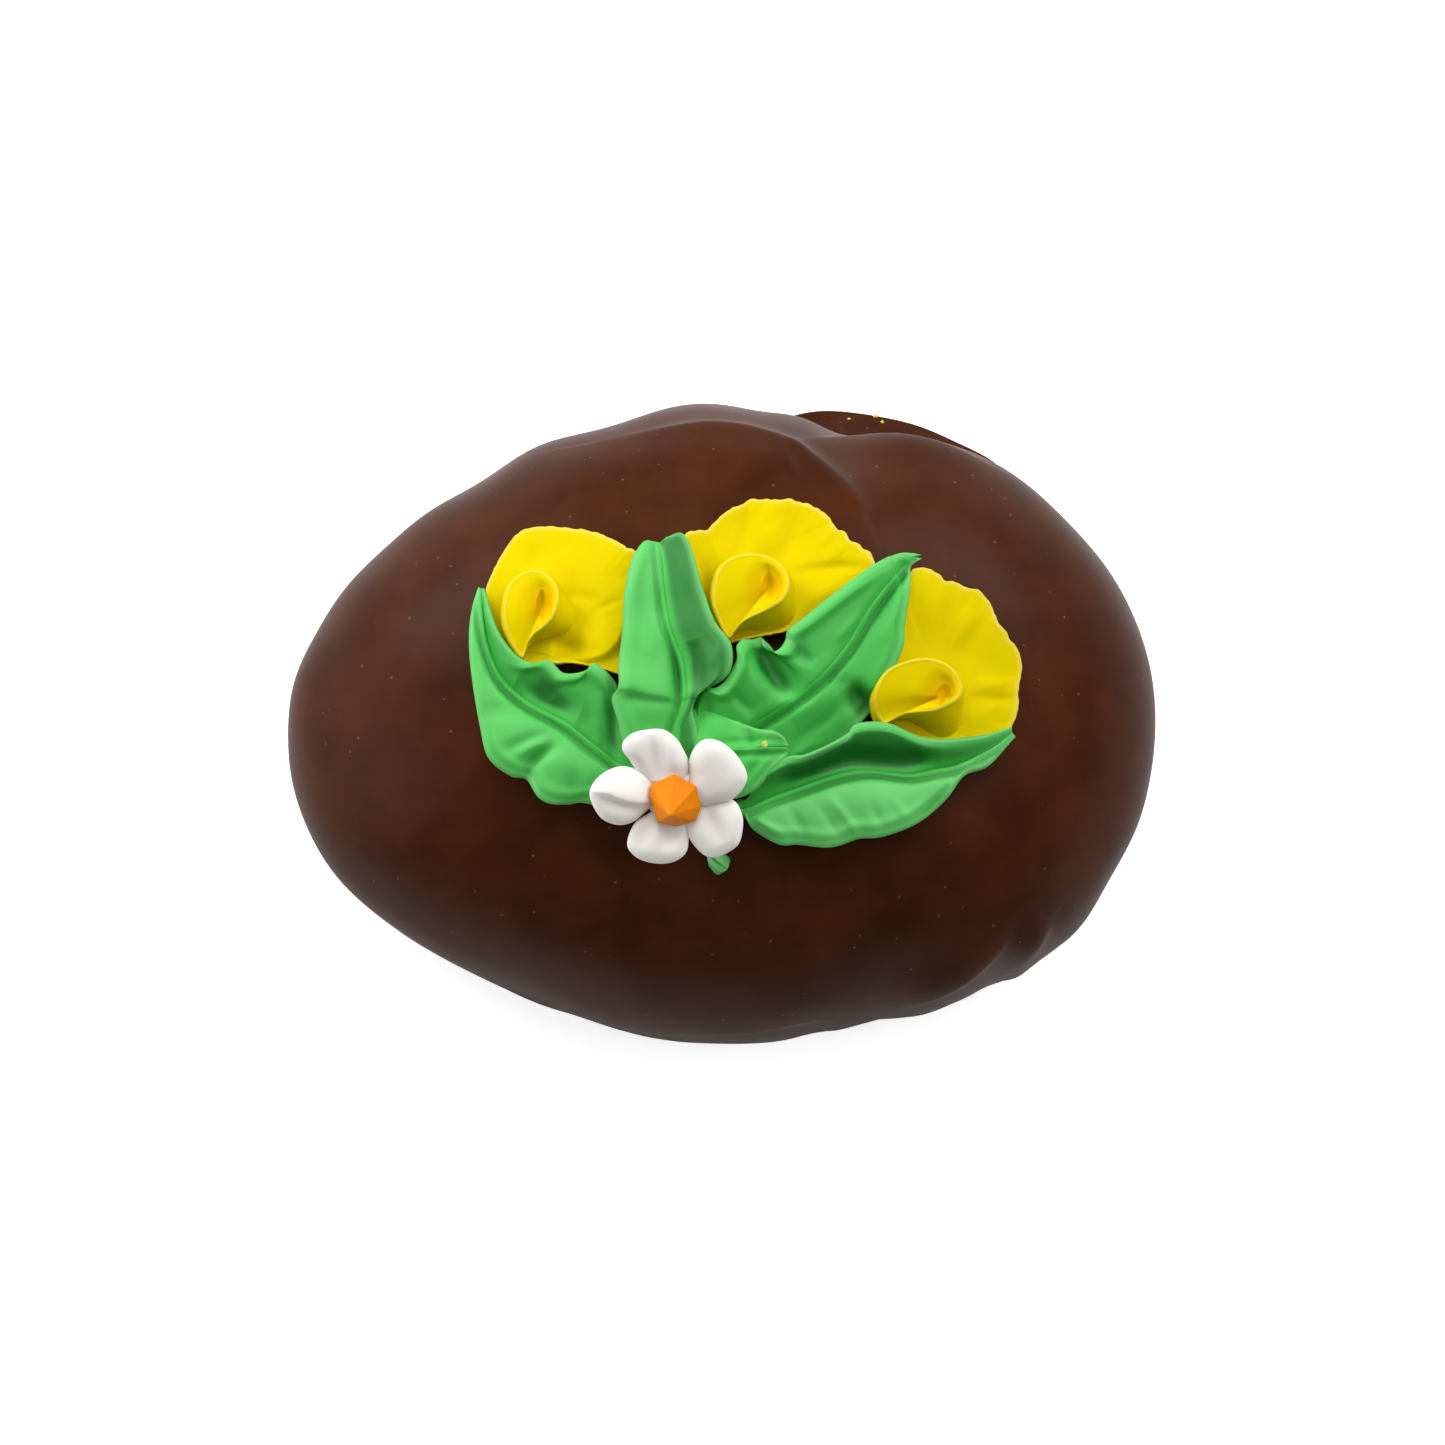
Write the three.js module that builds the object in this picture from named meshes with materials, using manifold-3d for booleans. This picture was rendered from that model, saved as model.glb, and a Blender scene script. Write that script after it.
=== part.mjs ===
// A hand-dipped chocolate egg lying on its flat base, decorated on top with piped icing:
// green leaves, three yellow sweet peas and one white drop flower with an orange centre.
// Millimetres, +Z up. The blunt end of the egg points to +X. The origin is the middle of
// the flat base.

import * as THREE from 'three';
import Module from 'manifold-3d';

const wasm = await Module();
wasm.setup();

// ---------------------------------------------------------------- driving dimensions

const EGG_HALF_LENGTH = 51;
const EGG_HALF_WIDTH = 37.4;
const EGG_BLUNTNESS = 0.089; // how much fuller the +X end is
const EGG_CENTRE = [0.15, 0.12];
const EGG_HEIGHT = 45; // top of the chocolate
const BELLY_HEIGHT = 15; // widest level
const DOME_POWER = [0.96, 0.96]; // 1 is an ellipse, smaller is fuller
const BELLY_TUCK = 2.6; // how far the wall draws in below the belly
const TUCK_HEIGHT = 3.6;
const FOOT_HEIGHT = 1.7; // the thin skirt of set chocolate round the base
const FOOT_REACH = -1.0; // the skirt's edge from the belly line
// Where the chocolate ran out into a puddle: angle in degrees from +X, reach, spread.
const PUDDLE_LOBES = [
  [62, 8.4, 18],
  [70, 2.0, 4.5],
];

// Swellings (+) and flats (-) of the dipped wall: angle in degrees, depth, spread.
const WALL_SWELLS = [
  [200, 1.4, 15],
  [150, -0.85, 20],
  [95, 0.9, 9],
  [82, -0.6, 6],
  [66, -2.7, 10],
  [295, -1.6, 11],
  [327, 0.8, 7],
];

// The edge of an overlapping coat of chocolate, seen as a low step on the back.
const COAT_STEP = [[-3, 31.2], [5, 30.2], [11.7, 25.8], [15.4, 20.6], [17.8, 15.4]];
const COAT_STEP_HEIGHT = 0.9;
const COAT_STEP_FADE = 9;
const COAT_STEP_SLOPE = 0.9;

const SPACE = 0.32; // clearance between neighbouring pieces
const LEAF_RIB = 0.55; // height of the midrib's ridge
const LEAF_MID_THICKNESS = 1.5;
const LEAF_EDGE_THICKNESS = 0.8;
const PETAL_MID_THICKNESS = 1.3;
const PETAL_EDGE_THICKNESS = 0.8;

const BLOOM_CENTRE = [-5.2, -13.6]; // the white flower
const BLOOM_LIFT = 4.8;
const BLOOM_LEAN = 24; // degrees, towards -Y
const BLOOM_PETAL_ANGLES = [115, 35, -38, -112, 177];
const BLOOM_PETAL_REACHES = [8.4, 8.6, 8.8, 7.9, 9.3];
const BLOOM_PETAL_WIDTH = 7.2;
const BLOOM_PETAL_RISE = 10; // degrees above the flower's own plane
const BLOOM_THICKNESS = 1.6;
const STAR_RADIUS = 2.65;
const STAR_HEIGHT = 3.6;
const STAR_TEETH = 8;

// ---------------------------------------------------------------- the egg's own surface

const radians = THREE.MathUtils.degToRad;
const lerp = THREE.MathUtils.lerp;
const smooth = THREE.MathUtils.smoothstep;

function bell(distance, spread) {
  return Math.exp(-((distance / spread) ** 2));
}

function angleBetween(a, b) {
  return THREE.MathUtils.euclideanModulo(a - b + 180, 360) - 180;
}

// The plain egg outline is x = a cos u, y = b sin u (1 + k cos u). This finds its radius
// in the direction of an angle from the centre by walking u towards that direction.
function plainRadius(angle) {
  let u = radians(angle);
  let x = 0;
  let y = 0;
  for (let step = 0; step < 12; step++) {
    x = EGG_CENTRE[0] + EGG_HALF_LENGTH * Math.cos(u);
    y = EGG_CENTRE[1] + EGG_HALF_WIDTH * Math.sin(u) * (1 + EGG_BLUNTNESS * Math.cos(u));
    u += radians(angleBetween(angle, THREE.MathUtils.radToDeg(Math.atan2(y, x))));
  }
  return Math.hypot(x, y);
}

function wallRadius(angle) {
  let radius = plainRadius(angle);
  for (const [at, depth, spread] of WALL_SWELLS) {
    radius += depth * bell(angleBetween(angle, at), spread);
  }
  return radius;
}

function footRadius(angle) {
  return PUDDLE_LOBES.reduce(
    (radius, [at, reach, spread]) => radius + reach * bell(angleBetween(angle, at), spread),
    wallRadius(angle) + FOOT_REACH);
}

// Signed distance from a plan point to a polyline, positive on its outer (right) side,
// with the fraction along it.
function besideLine(x, y, line) {
  let best = { distance: Infinity, along: 0 };
  for (let i = 0; i < line.length - 1; i++) {
    const [ax, ay] = line[i];
    const [bx, by] = line[i + 1];
    const [dx, dy] = [bx - ax, by - ay];
    const share = ((x - ax) * dx + (y - ay) * dy) / (dx * dx + dy * dy);
    const held = THREE.MathUtils.clamp(share, 0, 1);
    const [ex, ey] = [x - ax - held * dx, y - ay - held * dy];
    const distance = Math.hypot(ex, ey);
    if (distance < Math.abs(best.distance)) {
      const side = Math.sign(dy * ex - dx * ey) || 1;
      best = { distance: side * distance, along: (i + held) / (line.length - 1) };
    }
  }
  return best;
}

function coatStep(x, y) {
  const { distance, along } = besideLine(x, y, COAT_STEP);
  const ends = Math.sin(Math.PI * THREE.MathUtils.clamp(along, 0.04, 0.96)) ** 0.6;
  const rise = distance > 0 ? bell(distance, COAT_STEP_FADE) : bell(distance, COAT_STEP_SLOPE);
  return COAT_STEP_HEIGHT * ends * rise;
}

// Height of the chocolate over a plan point.
function domeHeight(x, y) {
  const angle = THREE.MathUtils.radToDeg(Math.atan2(y, x));
  const share = Math.min(Math.hypot(x, y) / wallRadius(angle), 0.999);
  const drop = (1 - share ** (2 / DOME_POWER[0])) ** (DOME_POWER[1] / 2);
  return BELLY_HEIGHT + (EGG_HEIGHT - BELLY_HEIGHT) * drop + coatStep(x, y) * drop;
}

function overDome(x, y, lift) {
  return new THREE.Vector3(x, y, domeHeight(x, y) + lift);
}

// ---------------------------------------------------------------- closed solids

function solidFrom(points, triangles) {
  const vertProperties = new Float32Array(points.flatMap((p) => [p.x, p.y, p.z]));
  let volume = 0;
  for (const [a, b, c] of triangles) {
    volume += points[a].dot(new THREE.Vector3().crossVectors(points[b], points[c]));
  }
  const facing = volume > 0 ? triangles : triangles.map(([a, b, c]) => [a, c, b]);
  const triVerts = new Uint32Array(facing.flat());
  return new wasm.Manifold(new wasm.Mesh({ numProp: 3, vertProperties, triVerts }));
}

// Rings of equal length closed by one point at each end.
function loftSolid(rings, start, end) {
  const count = rings[0].length;
  const points = rings.flat().concat([start, end]);
  const triangles = [];
  for (let j = 0; j < count; j++) {
    const next = (j + 1) % count;
    for (let i = 0; i < rings.length - 1; i++) {
      const [a, b] = [i * count + j, i * count + next];
      triangles.push([a, b, b + count], [a, b + count, a + count]);
    }
    const last = (rings.length - 1) * count;
    triangles.push([points.length - 2, next, j]);
    triangles.push([points.length - 1, last + j, last + next]);
  }
  return solidFrom(points, triangles);
}

// A sheet given by the same grid of points on its upper and lower faces.
function sheetSolid(upper, lower) {
  const [rows, columns] = [upper.length, upper[0].length];
  const points = upper.flat().concat(lower.flat());
  const below = rows * columns;
  const triangles = [];
  const quad = (a, b, c, d) => triangles.push([a, b, c], [a, c, d]);
  for (let i = 0; i < rows - 1; i++) {
    for (let j = 0; j < columns - 1; j++) {
      const a = i * columns + j;
      quad(a, a + 1, a + columns + 1, a + columns);
      quad(below + a, below + a + columns, below + a + columns + 1, below + a + 1);
    }
    const [left, right] = [i * columns, (i + 1) * columns - 1];
    quad(left, left + columns, below + left + columns, below + left);
    quad(right, below + right, below + right + columns, right + columns);
  }
  for (let j = 0; j < columns - 1; j++) {
    const [first, last] = [j, (rows - 1) * columns + j];
    quad(first, below + first, below + first + 1, first + 1);
    quad(last, last + 1, below + last + 1, below + last);
  }
  return solidFrom(points, triangles);
}

function route(points) {
  return new THREE.CatmullRomCurve3(points.map(([x, y, lift]) => new THREE.Vector3(x, y, lift)));
}

function steps(count) {
  return Array.from({ length: count + 1 }, (_, i) => i / count);
}

// ---------------------------------------------------------------- chocolate body

const EGG_SIDES = 80;
const DOME_RINGS = 18;
const TUCK_RINGS = 4;

function eggSolid() {
  const rings = [];
  const ring = (pointAt) => {
    rings.push(Array.from({ length: EGG_SIDES }, (_, j) => pointAt((360 * j) / EGG_SIDES)));
  };
  const at = (angle, radius, z) => {
    const turn = radians(angle);
    return new THREE.Vector3(radius * Math.cos(turn), radius * Math.sin(turn), z);
  };
  for (let i = 1; i <= DOME_RINGS; i++) {
    const share = Math.min(Math.sin((Math.PI / 2) * (i / DOME_RINGS)) ** DOME_POWER[0], 0.999);
    ring((angle) => {
      const p = at(angle, share * wallRadius(angle), 0);
      p.z = i < DOME_RINGS ? domeHeight(p.x, p.y) : BELLY_HEIGHT;
      return p;
    });
  }
  for (let i = 1; i <= TUCK_RINGS; i++) {
    const turn = (Math.PI / 2) * (i / TUCK_RINGS);
    const z = lerp(BELLY_HEIGHT, TUCK_HEIGHT, Math.sin(turn));
    ring((angle) => at(angle, wallRadius(angle) - BELLY_TUCK * (1 - Math.cos(turn)), z));
  }
  ring((angle) => at(angle, footRadius(angle) - 1.0, FOOT_HEIGHT));
  ring((angle) => at(angle, footRadius(angle), FOOT_HEIGHT * 0.5));
  ring((angle) => at(angle, footRadius(angle) - 0.3, 0));
  return loftSolid(rings, overDome(0, 0, 0), new THREE.Vector3(0, 0, 0));
}

// ---------------------------------------------------------------- leaves

// Every leaf is drawn as three lines in plan, from its base to its tip: the midrib and the
// two edges. The third number of a point is its height over the chocolate. A resting leaf is
// solid down to the chocolate along its midrib; the others lie on the pieces below them.
const LEAVES = {
  leaf_left: {
    rows: 18,
    resting: true,
    rib: [[-7.5, -13, 2.4], [-11, -11, 1.9], [-15, -7.5, 1.7], [-19.5, -4.5, 1.7],
      [-23.5, -1.5, 1.7], [-25.5, 2, 1.8], [-26.5, 5.5, 2], [-27.2, 10, 2.4]],
    left: [[-9.5, -15.5, 2.4], [-13.5, -14.4, 2.6], [-18, -13.8, 2.2], [-21.3, -11.4, 3.5],
      [-24, -9.7, 2.7], [-26.4, -5.2, 3.2], [-27.6, -1.3, 3], [-28.2, 3.3, 2.8], [-27.5, 10, 2.4]],
    right: [[-7, -9, 2.2], [-9.2, -5.6, 2.6], [-10, -2, 3], [-12, 0.4, 3.3], [-15.3, 0.4, 2.4],
      [-18.3, 0.3, 3.2], [-21.2, 1.4, 3.3], [-24.2, 4, 3.2], [-26.3, 8, 2.8], [-26.9, 10.2, 2.4]],
  },
  leaf_top: {
    rows: 18,
    resting: false,
    rib: [[-5.4, -12, 3.2], [-4.8, -6.5, 3.3], [-4.1, -2.3, 3.4], [-4.8, 2.2, 3.6],
      [-5.9, 5.6, 3.8], [-6.6, 9.1, 4.2], [-7.2, 15, 4.4]],
    left: [[-9, -11.5, 3.6], [-10.5, -7.2, 4], [-11.3, -3.3, 4.6], [-10.9, 0.6, 4.8],
      [-10.6, 4, 4.9], [-10.1, 9.1, 4.8], [-9.3, 12.7, 4.7], [-8.5, 14.8, 4.5]],
    right: [[-2.2, -11, 3.6], [-3, -5.6, 4], [-1.4, -1.4, 4.6], [0.5, 0, 5], [0.6, 2.2, 5.2],
      [-1.5, 6.4, 5], [-2.9, 10.5, 4.8], [-4.2, 14.4, 4.6], [-5.2, 15.8, 4.4]],
  },
  leaf_right_upper: {
    rows: 18,
    resting: false,
    rib: [[-1.5, -9.5, 2.2], [1.5, -7.3, 2.4], [5.3, -5.4, 2.7], [8.6, -3.4, 2.9],
      [11.4, -0.5, 3.1], [14.1, 2.9, 3.4], [17.5, 6.7, 3.8], [19.8, 10, 4.1], [21.7, 13.7, 4.4]],
    left: [[-4.6, -7, 1.4], [-4.2, -2.6, 1.6], [-1.6, -1.9, 3], [0.6, -1.4, 3.5],
      [2, 2, 4], [3.8, 3.6, 4.6], [5.4, 2.5, 3.6], [6.9, 3, 4.2], [8.8, 5.6, 4.8],
      [11.9, 7.4, 4.8], [15.3, 9.8, 4.7], [18.7, 12.7, 4.6], [21.3, 14, 4.4]],
    right: [[3.5, -12, 1.8], [7.5, -10.6, 1.8], [11.5, -8.8, 1.7], [14.6, -6.8, 1.7],
      [17.3, -3.8, 2.4], [18.9, -0.2, 3.8], [20, 4.8, 4.3], [20.9, 9, 4.4], [22.1, 13.2, 4.4]],
  },
  leaf_right_lower: {
    rows: 18,
    resting: true,
    rib: [[-1.5, -15.8, 2.2], [2.6, -14.7, 2.2], [6.4, -13.4, 2], [10.8, -12.1, 1.9],
      [16, -11.2, 1.9], [19.7, -11, 2], [23, -10.4, 2.2], [27, -8.8, 2.5], [32.5, -5.6, 2.8]],
    left: [[0.4, -14.6, 2.8], [3.2, -12.9, 3.4], [6.4, -10.6, 3.8], [10.2, -9.7, 4],
      [13, -7.6, 4.2], [16.2, -6, 4.3], [19.6, -6.8, 4.1], [22.6, -7.6, 4.2], [28.6, -7, 4],
      [32.3, -5.2, 3]],
    right: [[-0.5, -17.2, 2.4], [3.4, -16.7, 2.4], [6.5, -18.3, 2.2], [10.3, -18.7, 2.7],
      [14.2, -17.9, 2.2], [17.5, -17.3, 2.7], [21, -15.7, 2.2], [24.2, -13.2, 2.7],
      [26.2, -10.8, 2.4], [29.4, -8.7, 2.6], [32.7, -6, 2.8]],
  },
  leaf_centre: {
    rows: 7,
    resting: false,
    rib: [[-3.5, -11.4, 4.2], [0, -9.4, 4.2], [3.5, -8.4, 4.1], [7.1, -8, 3.8]],
    left: [[-2.6, -7, 4.4], [0.4, -5.4, 4.8], [3.6, -5.6, 4.8], [6.2, -6.6, 4.4], [7.2, -7.6, 4]],
    right: [[-2, -14, 4.2], [1.8, -13, 4.3], [5, -11.2, 4.4], [6.8, -9.6, 4.2], [7.3, -8.4, 4]],
  },
  leaf_tip: {
    rows: 4,
    resting: true,
    rib: [[-2.4, -18.1, 1.6], [-0.8, -19.8, 1.4], [0.6, -21, 1.2]],
    left: [[-1.4, -17.4, 1.5], [0.2, -19, 1.4], [1, -20.8, 1.2]],
    right: [[-3.2, -18.8, 1.5], [-1.6, -20.5, 1.4], [0.1, -21.5, 1.2]],
  },
};

const LEAF_COLUMNS = [-1, -0.78, -0.5, -0.25, -0.1, 0, 0.1, 0.25, 0.5, 0.78, 1];

function leafSolid(leaf, grow) {
  const [rib, left, right] = [route(leaf.rib), route(leaf.left), route(leaf.right)];
  const upper = [];
  const lower = [];
  for (const along of steps(leaf.rows)) {
    const middle = rib.getPointAt(along);
    const taper = Math.sin(Math.PI * (0.15 + 0.8 * along));
    const above = [];
    const below = [];
    for (const column of LEAF_COLUMNS) {
      const edge = (column < 0 ? left : right).getPointAt(along);
      const across = Math.abs(column);
      const reach = middle.distanceTo(edge);
      const share = across * (1 + grow / reach);
      const ridge = LEAF_RIB * (bell(across, 0.06) - 0.45 * bell(across - 0.14, 0.08)) * taper;
      const lift = lerp(middle.z, edge.z, across ** 1.4) + ridge;
      const thickness = lerp(LEAF_MID_THICKNESS, LEAF_EDGE_THICKNESS, across);
      const [x, y] = [lerp(middle.x, edge.x, share), lerp(middle.y, edge.y, share)];
      const keel = leaf.resting ? 1 - smooth(across, 0.25, 0.6) : 0;
      const underside = Math.max(lerp(lift - thickness, SPACE, keel), SPACE);
      above.push(overDome(x, y, Math.max(lift, underside + LEAF_EDGE_THICKNESS) + grow));
      below.push(overDome(x, y, underside - grow));
    }
    upper.push(above);
    lower.push(below);
  }
  return sheetSolid(upper, lower);
}

// ---------------------------------------------------------------- sweet peas

// The standard petal is a ruffled fan round its stem; the keel is a furled cup on top of it.
const SWEET_PEAS = {
  left: {
    stem: [-20.6, 3.4],
    fan: [[-25.2, 4.6], [-26.3, 7.7], [-26.1, 11.3], [-24.8, 14.3], [-20.9, 17.4], [-16.9, 17.1],
      [-13.5, 15.7], [-10.3, 13.6], [-8.8, 8.2], [-9.6, 3.6], [-11.6, 0.9], [-14.6, 0.6],
      [-18, 1.2]],
    rim: [[-22.2, 1.5, 4.8], [-24, 4.6, 5.6], [-24.4, 8, 6.4], [-23.2, 10.7, 6.9],
      [-20.8, 11.5, 7], [-18.4, 10.2, 6.7], [-17.2, 7.3, 6.2], [-17.9, 4.4, 5.4], [-19.6, 2.7, 5]],
    throat: [-20, 7.3],
  },
  top: {
    stem: [2.6, 5.2],
    fan: [[-1.4, 4.6], [-3.6, 9], [-4.4, 14], [-2, 16], [-0.7, 17.6], [2.6, 19.8], [6, 20],
      [8.8, 19.2], [11, 17.8], [13.2, 15.4], [15.4, 14.8], [16.8, 12.6], [16.2, 9.6],
      [12.4, 7.2], [7.4, 4.6]],
    rim: [[1.5, 3.9, 4.8], [-0.6, 5.8, 5.6], [-1.2, 8.6, 6.3], [0.2, 11.4, 6.9], [3, 12.9, 7.1],
      [6, 12.3, 6.9], [7.6, 9.8, 6.4], [6.8, 6.8, 5.6], [4.2, 5, 5]],
    throat: [5, 8.7],
  },
  right: {
    stem: [19.6, -4],
    fan: [[17.4, -0.6], [19.4, 3.8], [20.2, 8], [21.2, 11.3], [22.8, 12.1], [24.9, 10.5],
      [26.8, 9.2], [29.4, 7.8], [31, 4.5], [33, 1.6], [32.9, -2.2], [31.8, -5.9], [28.4, -7.4],
      [24, -7.8], [20.4, -7.2]],
    rim: [[17.8, -6.4, 4.8], [16.6, -3.8, 5.5], [17.6, -1.2, 6.2], [20, 0.8, 6.7],
      [23, 1.3, 6.9], [25.7, 0, 6.6], [26.6, -2.2, 6], [25, -4.5, 5.4], [21.4, -5.6, 5]],
    throat: [23.8, -2.4],
  },
};

const FAN_ROWS = [0.1, 0.3, 0.5, 0.7, 0.86, 1];
const FAN_COLUMNS = 26;
const FAN_RUFFLES = 7;
const FAN_RUFFLE_HEIGHT = 0.35;

function fanSolid(pea, grow) {
  const edgeLine = route(pea.fan.map(([x, y]) => [x, y, 0]));
  const stem = new THREE.Vector3(pea.stem[0], pea.stem[1], 0);
  const upper = [];
  const lower = [];
  for (const out of FAN_ROWS) {
    const above = [];
    const below = [];
    for (const around of steps(FAN_COLUMNS)) {
      const edge = edgeLine.getPointAt(around);
      const share = out * (1 + grow / stem.distanceTo(edge));
      const ruffle = FAN_RUFFLE_HEIGHT * Math.sin(2 * Math.PI * FAN_RUFFLES * around) * out;
      const lift = 1.5 + 0.9 * out ** 3 + ruffle;
      const thickness = lerp(PETAL_MID_THICKNESS, PETAL_EDGE_THICKNESS, out);
      const [x, y] = [lerp(stem.x, edge.x, share), lerp(stem.y, edge.y, share)];
      above.push(overDome(x, y, lift + grow));
      below.push(overDome(x, y, Math.max(lift - thickness, SPACE) - grow));
    }
    upper.push(above);
    lower.push(below);
  }
  return sheetSolid(upper, lower);
}

const KEEL_SIDES = 18;
const KEEL_WALL = 0.9; // thickness of the furled wall at its rim
const KEEL_FOOT_LIFT = 2.6;
const KEEL_THROAT_LIFT = 3.6;

function keelSolid(pea, grow) {
  const rim = new THREE.CatmullRomCurve3(
    pea.rim.map(([x, y, lift]) => new THREE.Vector3(x, y, lift)), true);
  const throat = new THREE.Vector3(pea.throat[0], pea.throat[1], KEEL_THROAT_LIFT);
  const foot = new THREE.Vector3(pea.throat[0], pea.throat[1] - 0.6, KEEL_FOOT_LIFT);
  // Each ring is a share of the way from the middle out to the rim, at a height.
  const ring = (middle, share, heightAt, swell) =>
    Array.from({ length: KEEL_SIDES }, (_, j) => {
      const edge = rim.getPointAt(j / KEEL_SIDES);
      const reach = Math.hypot(edge.x - middle.x, edge.y - middle.y);
      const out = share + swell / reach;
      const [x, y] = [lerp(middle.x, edge.x, out), lerp(middle.y, edge.y, out)];
      return overDome(x, y, heightAt(edge.z));
    });
  const inner = (share) => ring(throat, share, (top) =>
    lerp(KEEL_THROAT_LIFT, top, share ** 0.8) + grow, 0);
  const rings = [
    inner(0.3),
    inner(0.62),
    ring(throat, 1, (top) => top + grow, -KEEL_WALL),
    ring(throat, 1, (top) => top + grow - 0.15, grow),
    ring(foot, 1, (top) => lerp(KEEL_FOOT_LIFT, top, 0.55), 0.3 + grow),
    ring(foot, 0.93, (top) => lerp(KEEL_FOOT_LIFT, top, 0.15), grow),
    ring(foot, 0.75, () => KEEL_FOOT_LIFT - grow, grow),
  ];
  const bottom = overDome(foot.x, foot.y, KEEL_FOOT_LIFT - grow);
  return loftSolid(rings, overDome(throat.x, throat.y, KEEL_THROAT_LIFT + grow), bottom);
}

// ---------------------------------------------------------------- white flower

const PETAL_SIDES = 12;
const PETAL_CUP = 0.6; // how far a petal's middle lies below its rim
const BLOOM_EYE_RADIUS = 3.2;

function placeBloom(point) {
  const lean = new THREE.Matrix4().makeRotationX(radians(BLOOM_LEAN));
  const centre = overDome(BLOOM_CENTRE[0], BLOOM_CENTRE[1], BLOOM_LIFT);
  return point.applyMatrix4(lean).add(centre);
}

function bloomPetal(angle, far, grow) {
  const near = 1.2;
  const middle = (near + far) / 2;
  const ring = (share, height) => Array.from({ length: PETAL_SIDES }, (_, j) => {
    const turn = (2 * Math.PI * j) / PETAL_SIDES;
    const length = ((far - near) / 2 + grow) * share;
    const width = (BLOOM_PETAL_WIDTH / 2 + grow) * share * (1 + 0.28 * Math.cos(turn));
    const out = middle + length * Math.cos(turn);
    const rise = (out - near) * Math.tan(radians(BLOOM_PETAL_RISE));
    const point = new THREE.Vector3(out, width * Math.sin(turn) * 0.92, rise + height);
    return placeBloom(point.applyAxisAngle(new THREE.Vector3(0, 0, 1), radians(angle)));
  });
  const half = BLOOM_THICKNESS / 2;
  const rings = [
    ring(0.4, half - PETAL_CUP * 0.8 + grow),
    ring(0.75, half - PETAL_CUP * 0.25 + grow),
    ring(0.93, half * 0.95 + grow),
    ring(1, half * 0.2),
    ring(0.92, -half * 0.8 - grow),
    ring(0.6, -half * 1.5 - grow),
  ];
  const cap = (height) => {
    const rise = (middle - near) * Math.tan(radians(BLOOM_PETAL_RISE));
    const point = new THREE.Vector3(middle, 0, rise + height);
    return placeBloom(point.applyAxisAngle(new THREE.Vector3(0, 0, 1), radians(angle)));
  };
  return loftSolid(rings, cap(half - PETAL_CUP + grow), cap(-half * 1.7 - grow));
}

function discSolid(radius, sides, profile) {
  const rings = profile.map(([share, height, tooth]) =>
    Array.from({ length: sides }, (_, j) => {
      const turn = (2 * Math.PI * j) / sides;
      const reach = radius * share * (1 + (tooth ?? 0) * (j % 2 ? -1 : 1));
      return placeBloom(new THREE.Vector3(reach * Math.cos(turn), reach * Math.sin(turn), height));
    }));
  const start = placeBloom(new THREE.Vector3(0, 0, profile[0][1]));
  const end = placeBloom(new THREE.Vector3(0, 0, profile[profile.length - 1][1]));
  return loftSolid(rings, start, end);
}

function bloomSolid(grow) {
  const eye = discSolid(BLOOM_EYE_RADIUS, 16, [
    [0.8, 0.9 + grow], [1 + grow / 4, 0.4], [0.9 + grow / 4, -1], [0.4, -1.7 - grow]]);
  return BLOOM_PETAL_ANGLES.reduce(
    (sum, angle, i) => sum.add(bloomPetal(angle, BLOOM_PETAL_REACHES[i], grow)), eye);
}

// The orange centre: one short squeeze from a star nozzle, drawn up to a point.
function starSolid() {
  const base = 0.9 + SPACE;
  const top = base + STAR_HEIGHT;
  return discSolid(STAR_RADIUS, 2 * STAR_TEETH, [
    [0.9, base, 0.08], [1, base + 0.8, 0.1], [0.72, base + 1.9, 0.08], [0.34, base + 2.9, 0.04],
    [0.08, top]]);
}

// ---------------------------------------------------------------- pieces and their order

function largestPiece(solid) {
  return solid.decompose().sort((a, b) => b.volume() - a.volume())[0];
}

const leafPiece = (name) => (grow) => leafSolid(LEAVES[name], grow);

// From the top of the stack down: each piece is cut clear of those listed before it.
const STACK = [
  ['orange_centre', () => starSolid(), 'orange'],
  ['white_flower', bloomSolid, 'white'],
  ['sweet_pea_left_keel', (grow) => keelSolid(SWEET_PEAS.left, grow), 'yellow'],
  ['sweet_pea_top_keel', (grow) => keelSolid(SWEET_PEAS.top, grow), 'yellow'],
  ['sweet_pea_right_keel', (grow) => keelSolid(SWEET_PEAS.right, grow), 'yellow'],
  ['leaf_top', leafPiece('leaf_top'), 'green'],
  ['leaf_centre', leafPiece('leaf_centre'), 'green'],
  ['leaf_right_upper', leafPiece('leaf_right_upper'), 'green'],
  ['leaf_right_lower', leafPiece('leaf_right_lower'), 'green'],
  ['leaf_left', leafPiece('leaf_left'), 'green'],
  ['leaf_tip', leafPiece('leaf_tip'), 'green'],
  ['sweet_pea_left_standard', (grow) => fanSolid(SWEET_PEAS.left, grow), 'yellow'],
  ['sweet_pea_top_standard', (grow) => fanSolid(SWEET_PEAS.top, grow), 'yellow'],
  ['sweet_pea_right_standard', (grow) => fanSolid(SWEET_PEAS.right, grow), 'yellow'],
];

const FINISHES = {
  chocolate: { color: '#4a2718', roughness: 0.45, metalness: 0 },
  green: { color: '#55b95a', roughness: 0.55, metalness: 0 },
  yellow: { color: '#efd90a', roughness: 0.6, metalness: 0 },
  white: { color: '#e9e4dc', roughness: 0.6, metalness: 0 },
  orange: { color: '#f39a26', roughness: 0.6, metalness: 0 },
};

function meshFrom(name, solid, finish) {
  const { vertProperties, triVerts } = solid.getMesh();
  const geometry = new THREE.BufferGeometry();
  geometry.setAttribute('position', new THREE.BufferAttribute(vertProperties, 3));
  geometry.setIndex(new THREE.BufferAttribute(triVerts, 1));
  const mesh = new THREE.Mesh(geometry, new THREE.MeshStandardMaterial(FINISHES[finish]));
  mesh.name = name;
  return mesh;
}

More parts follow.
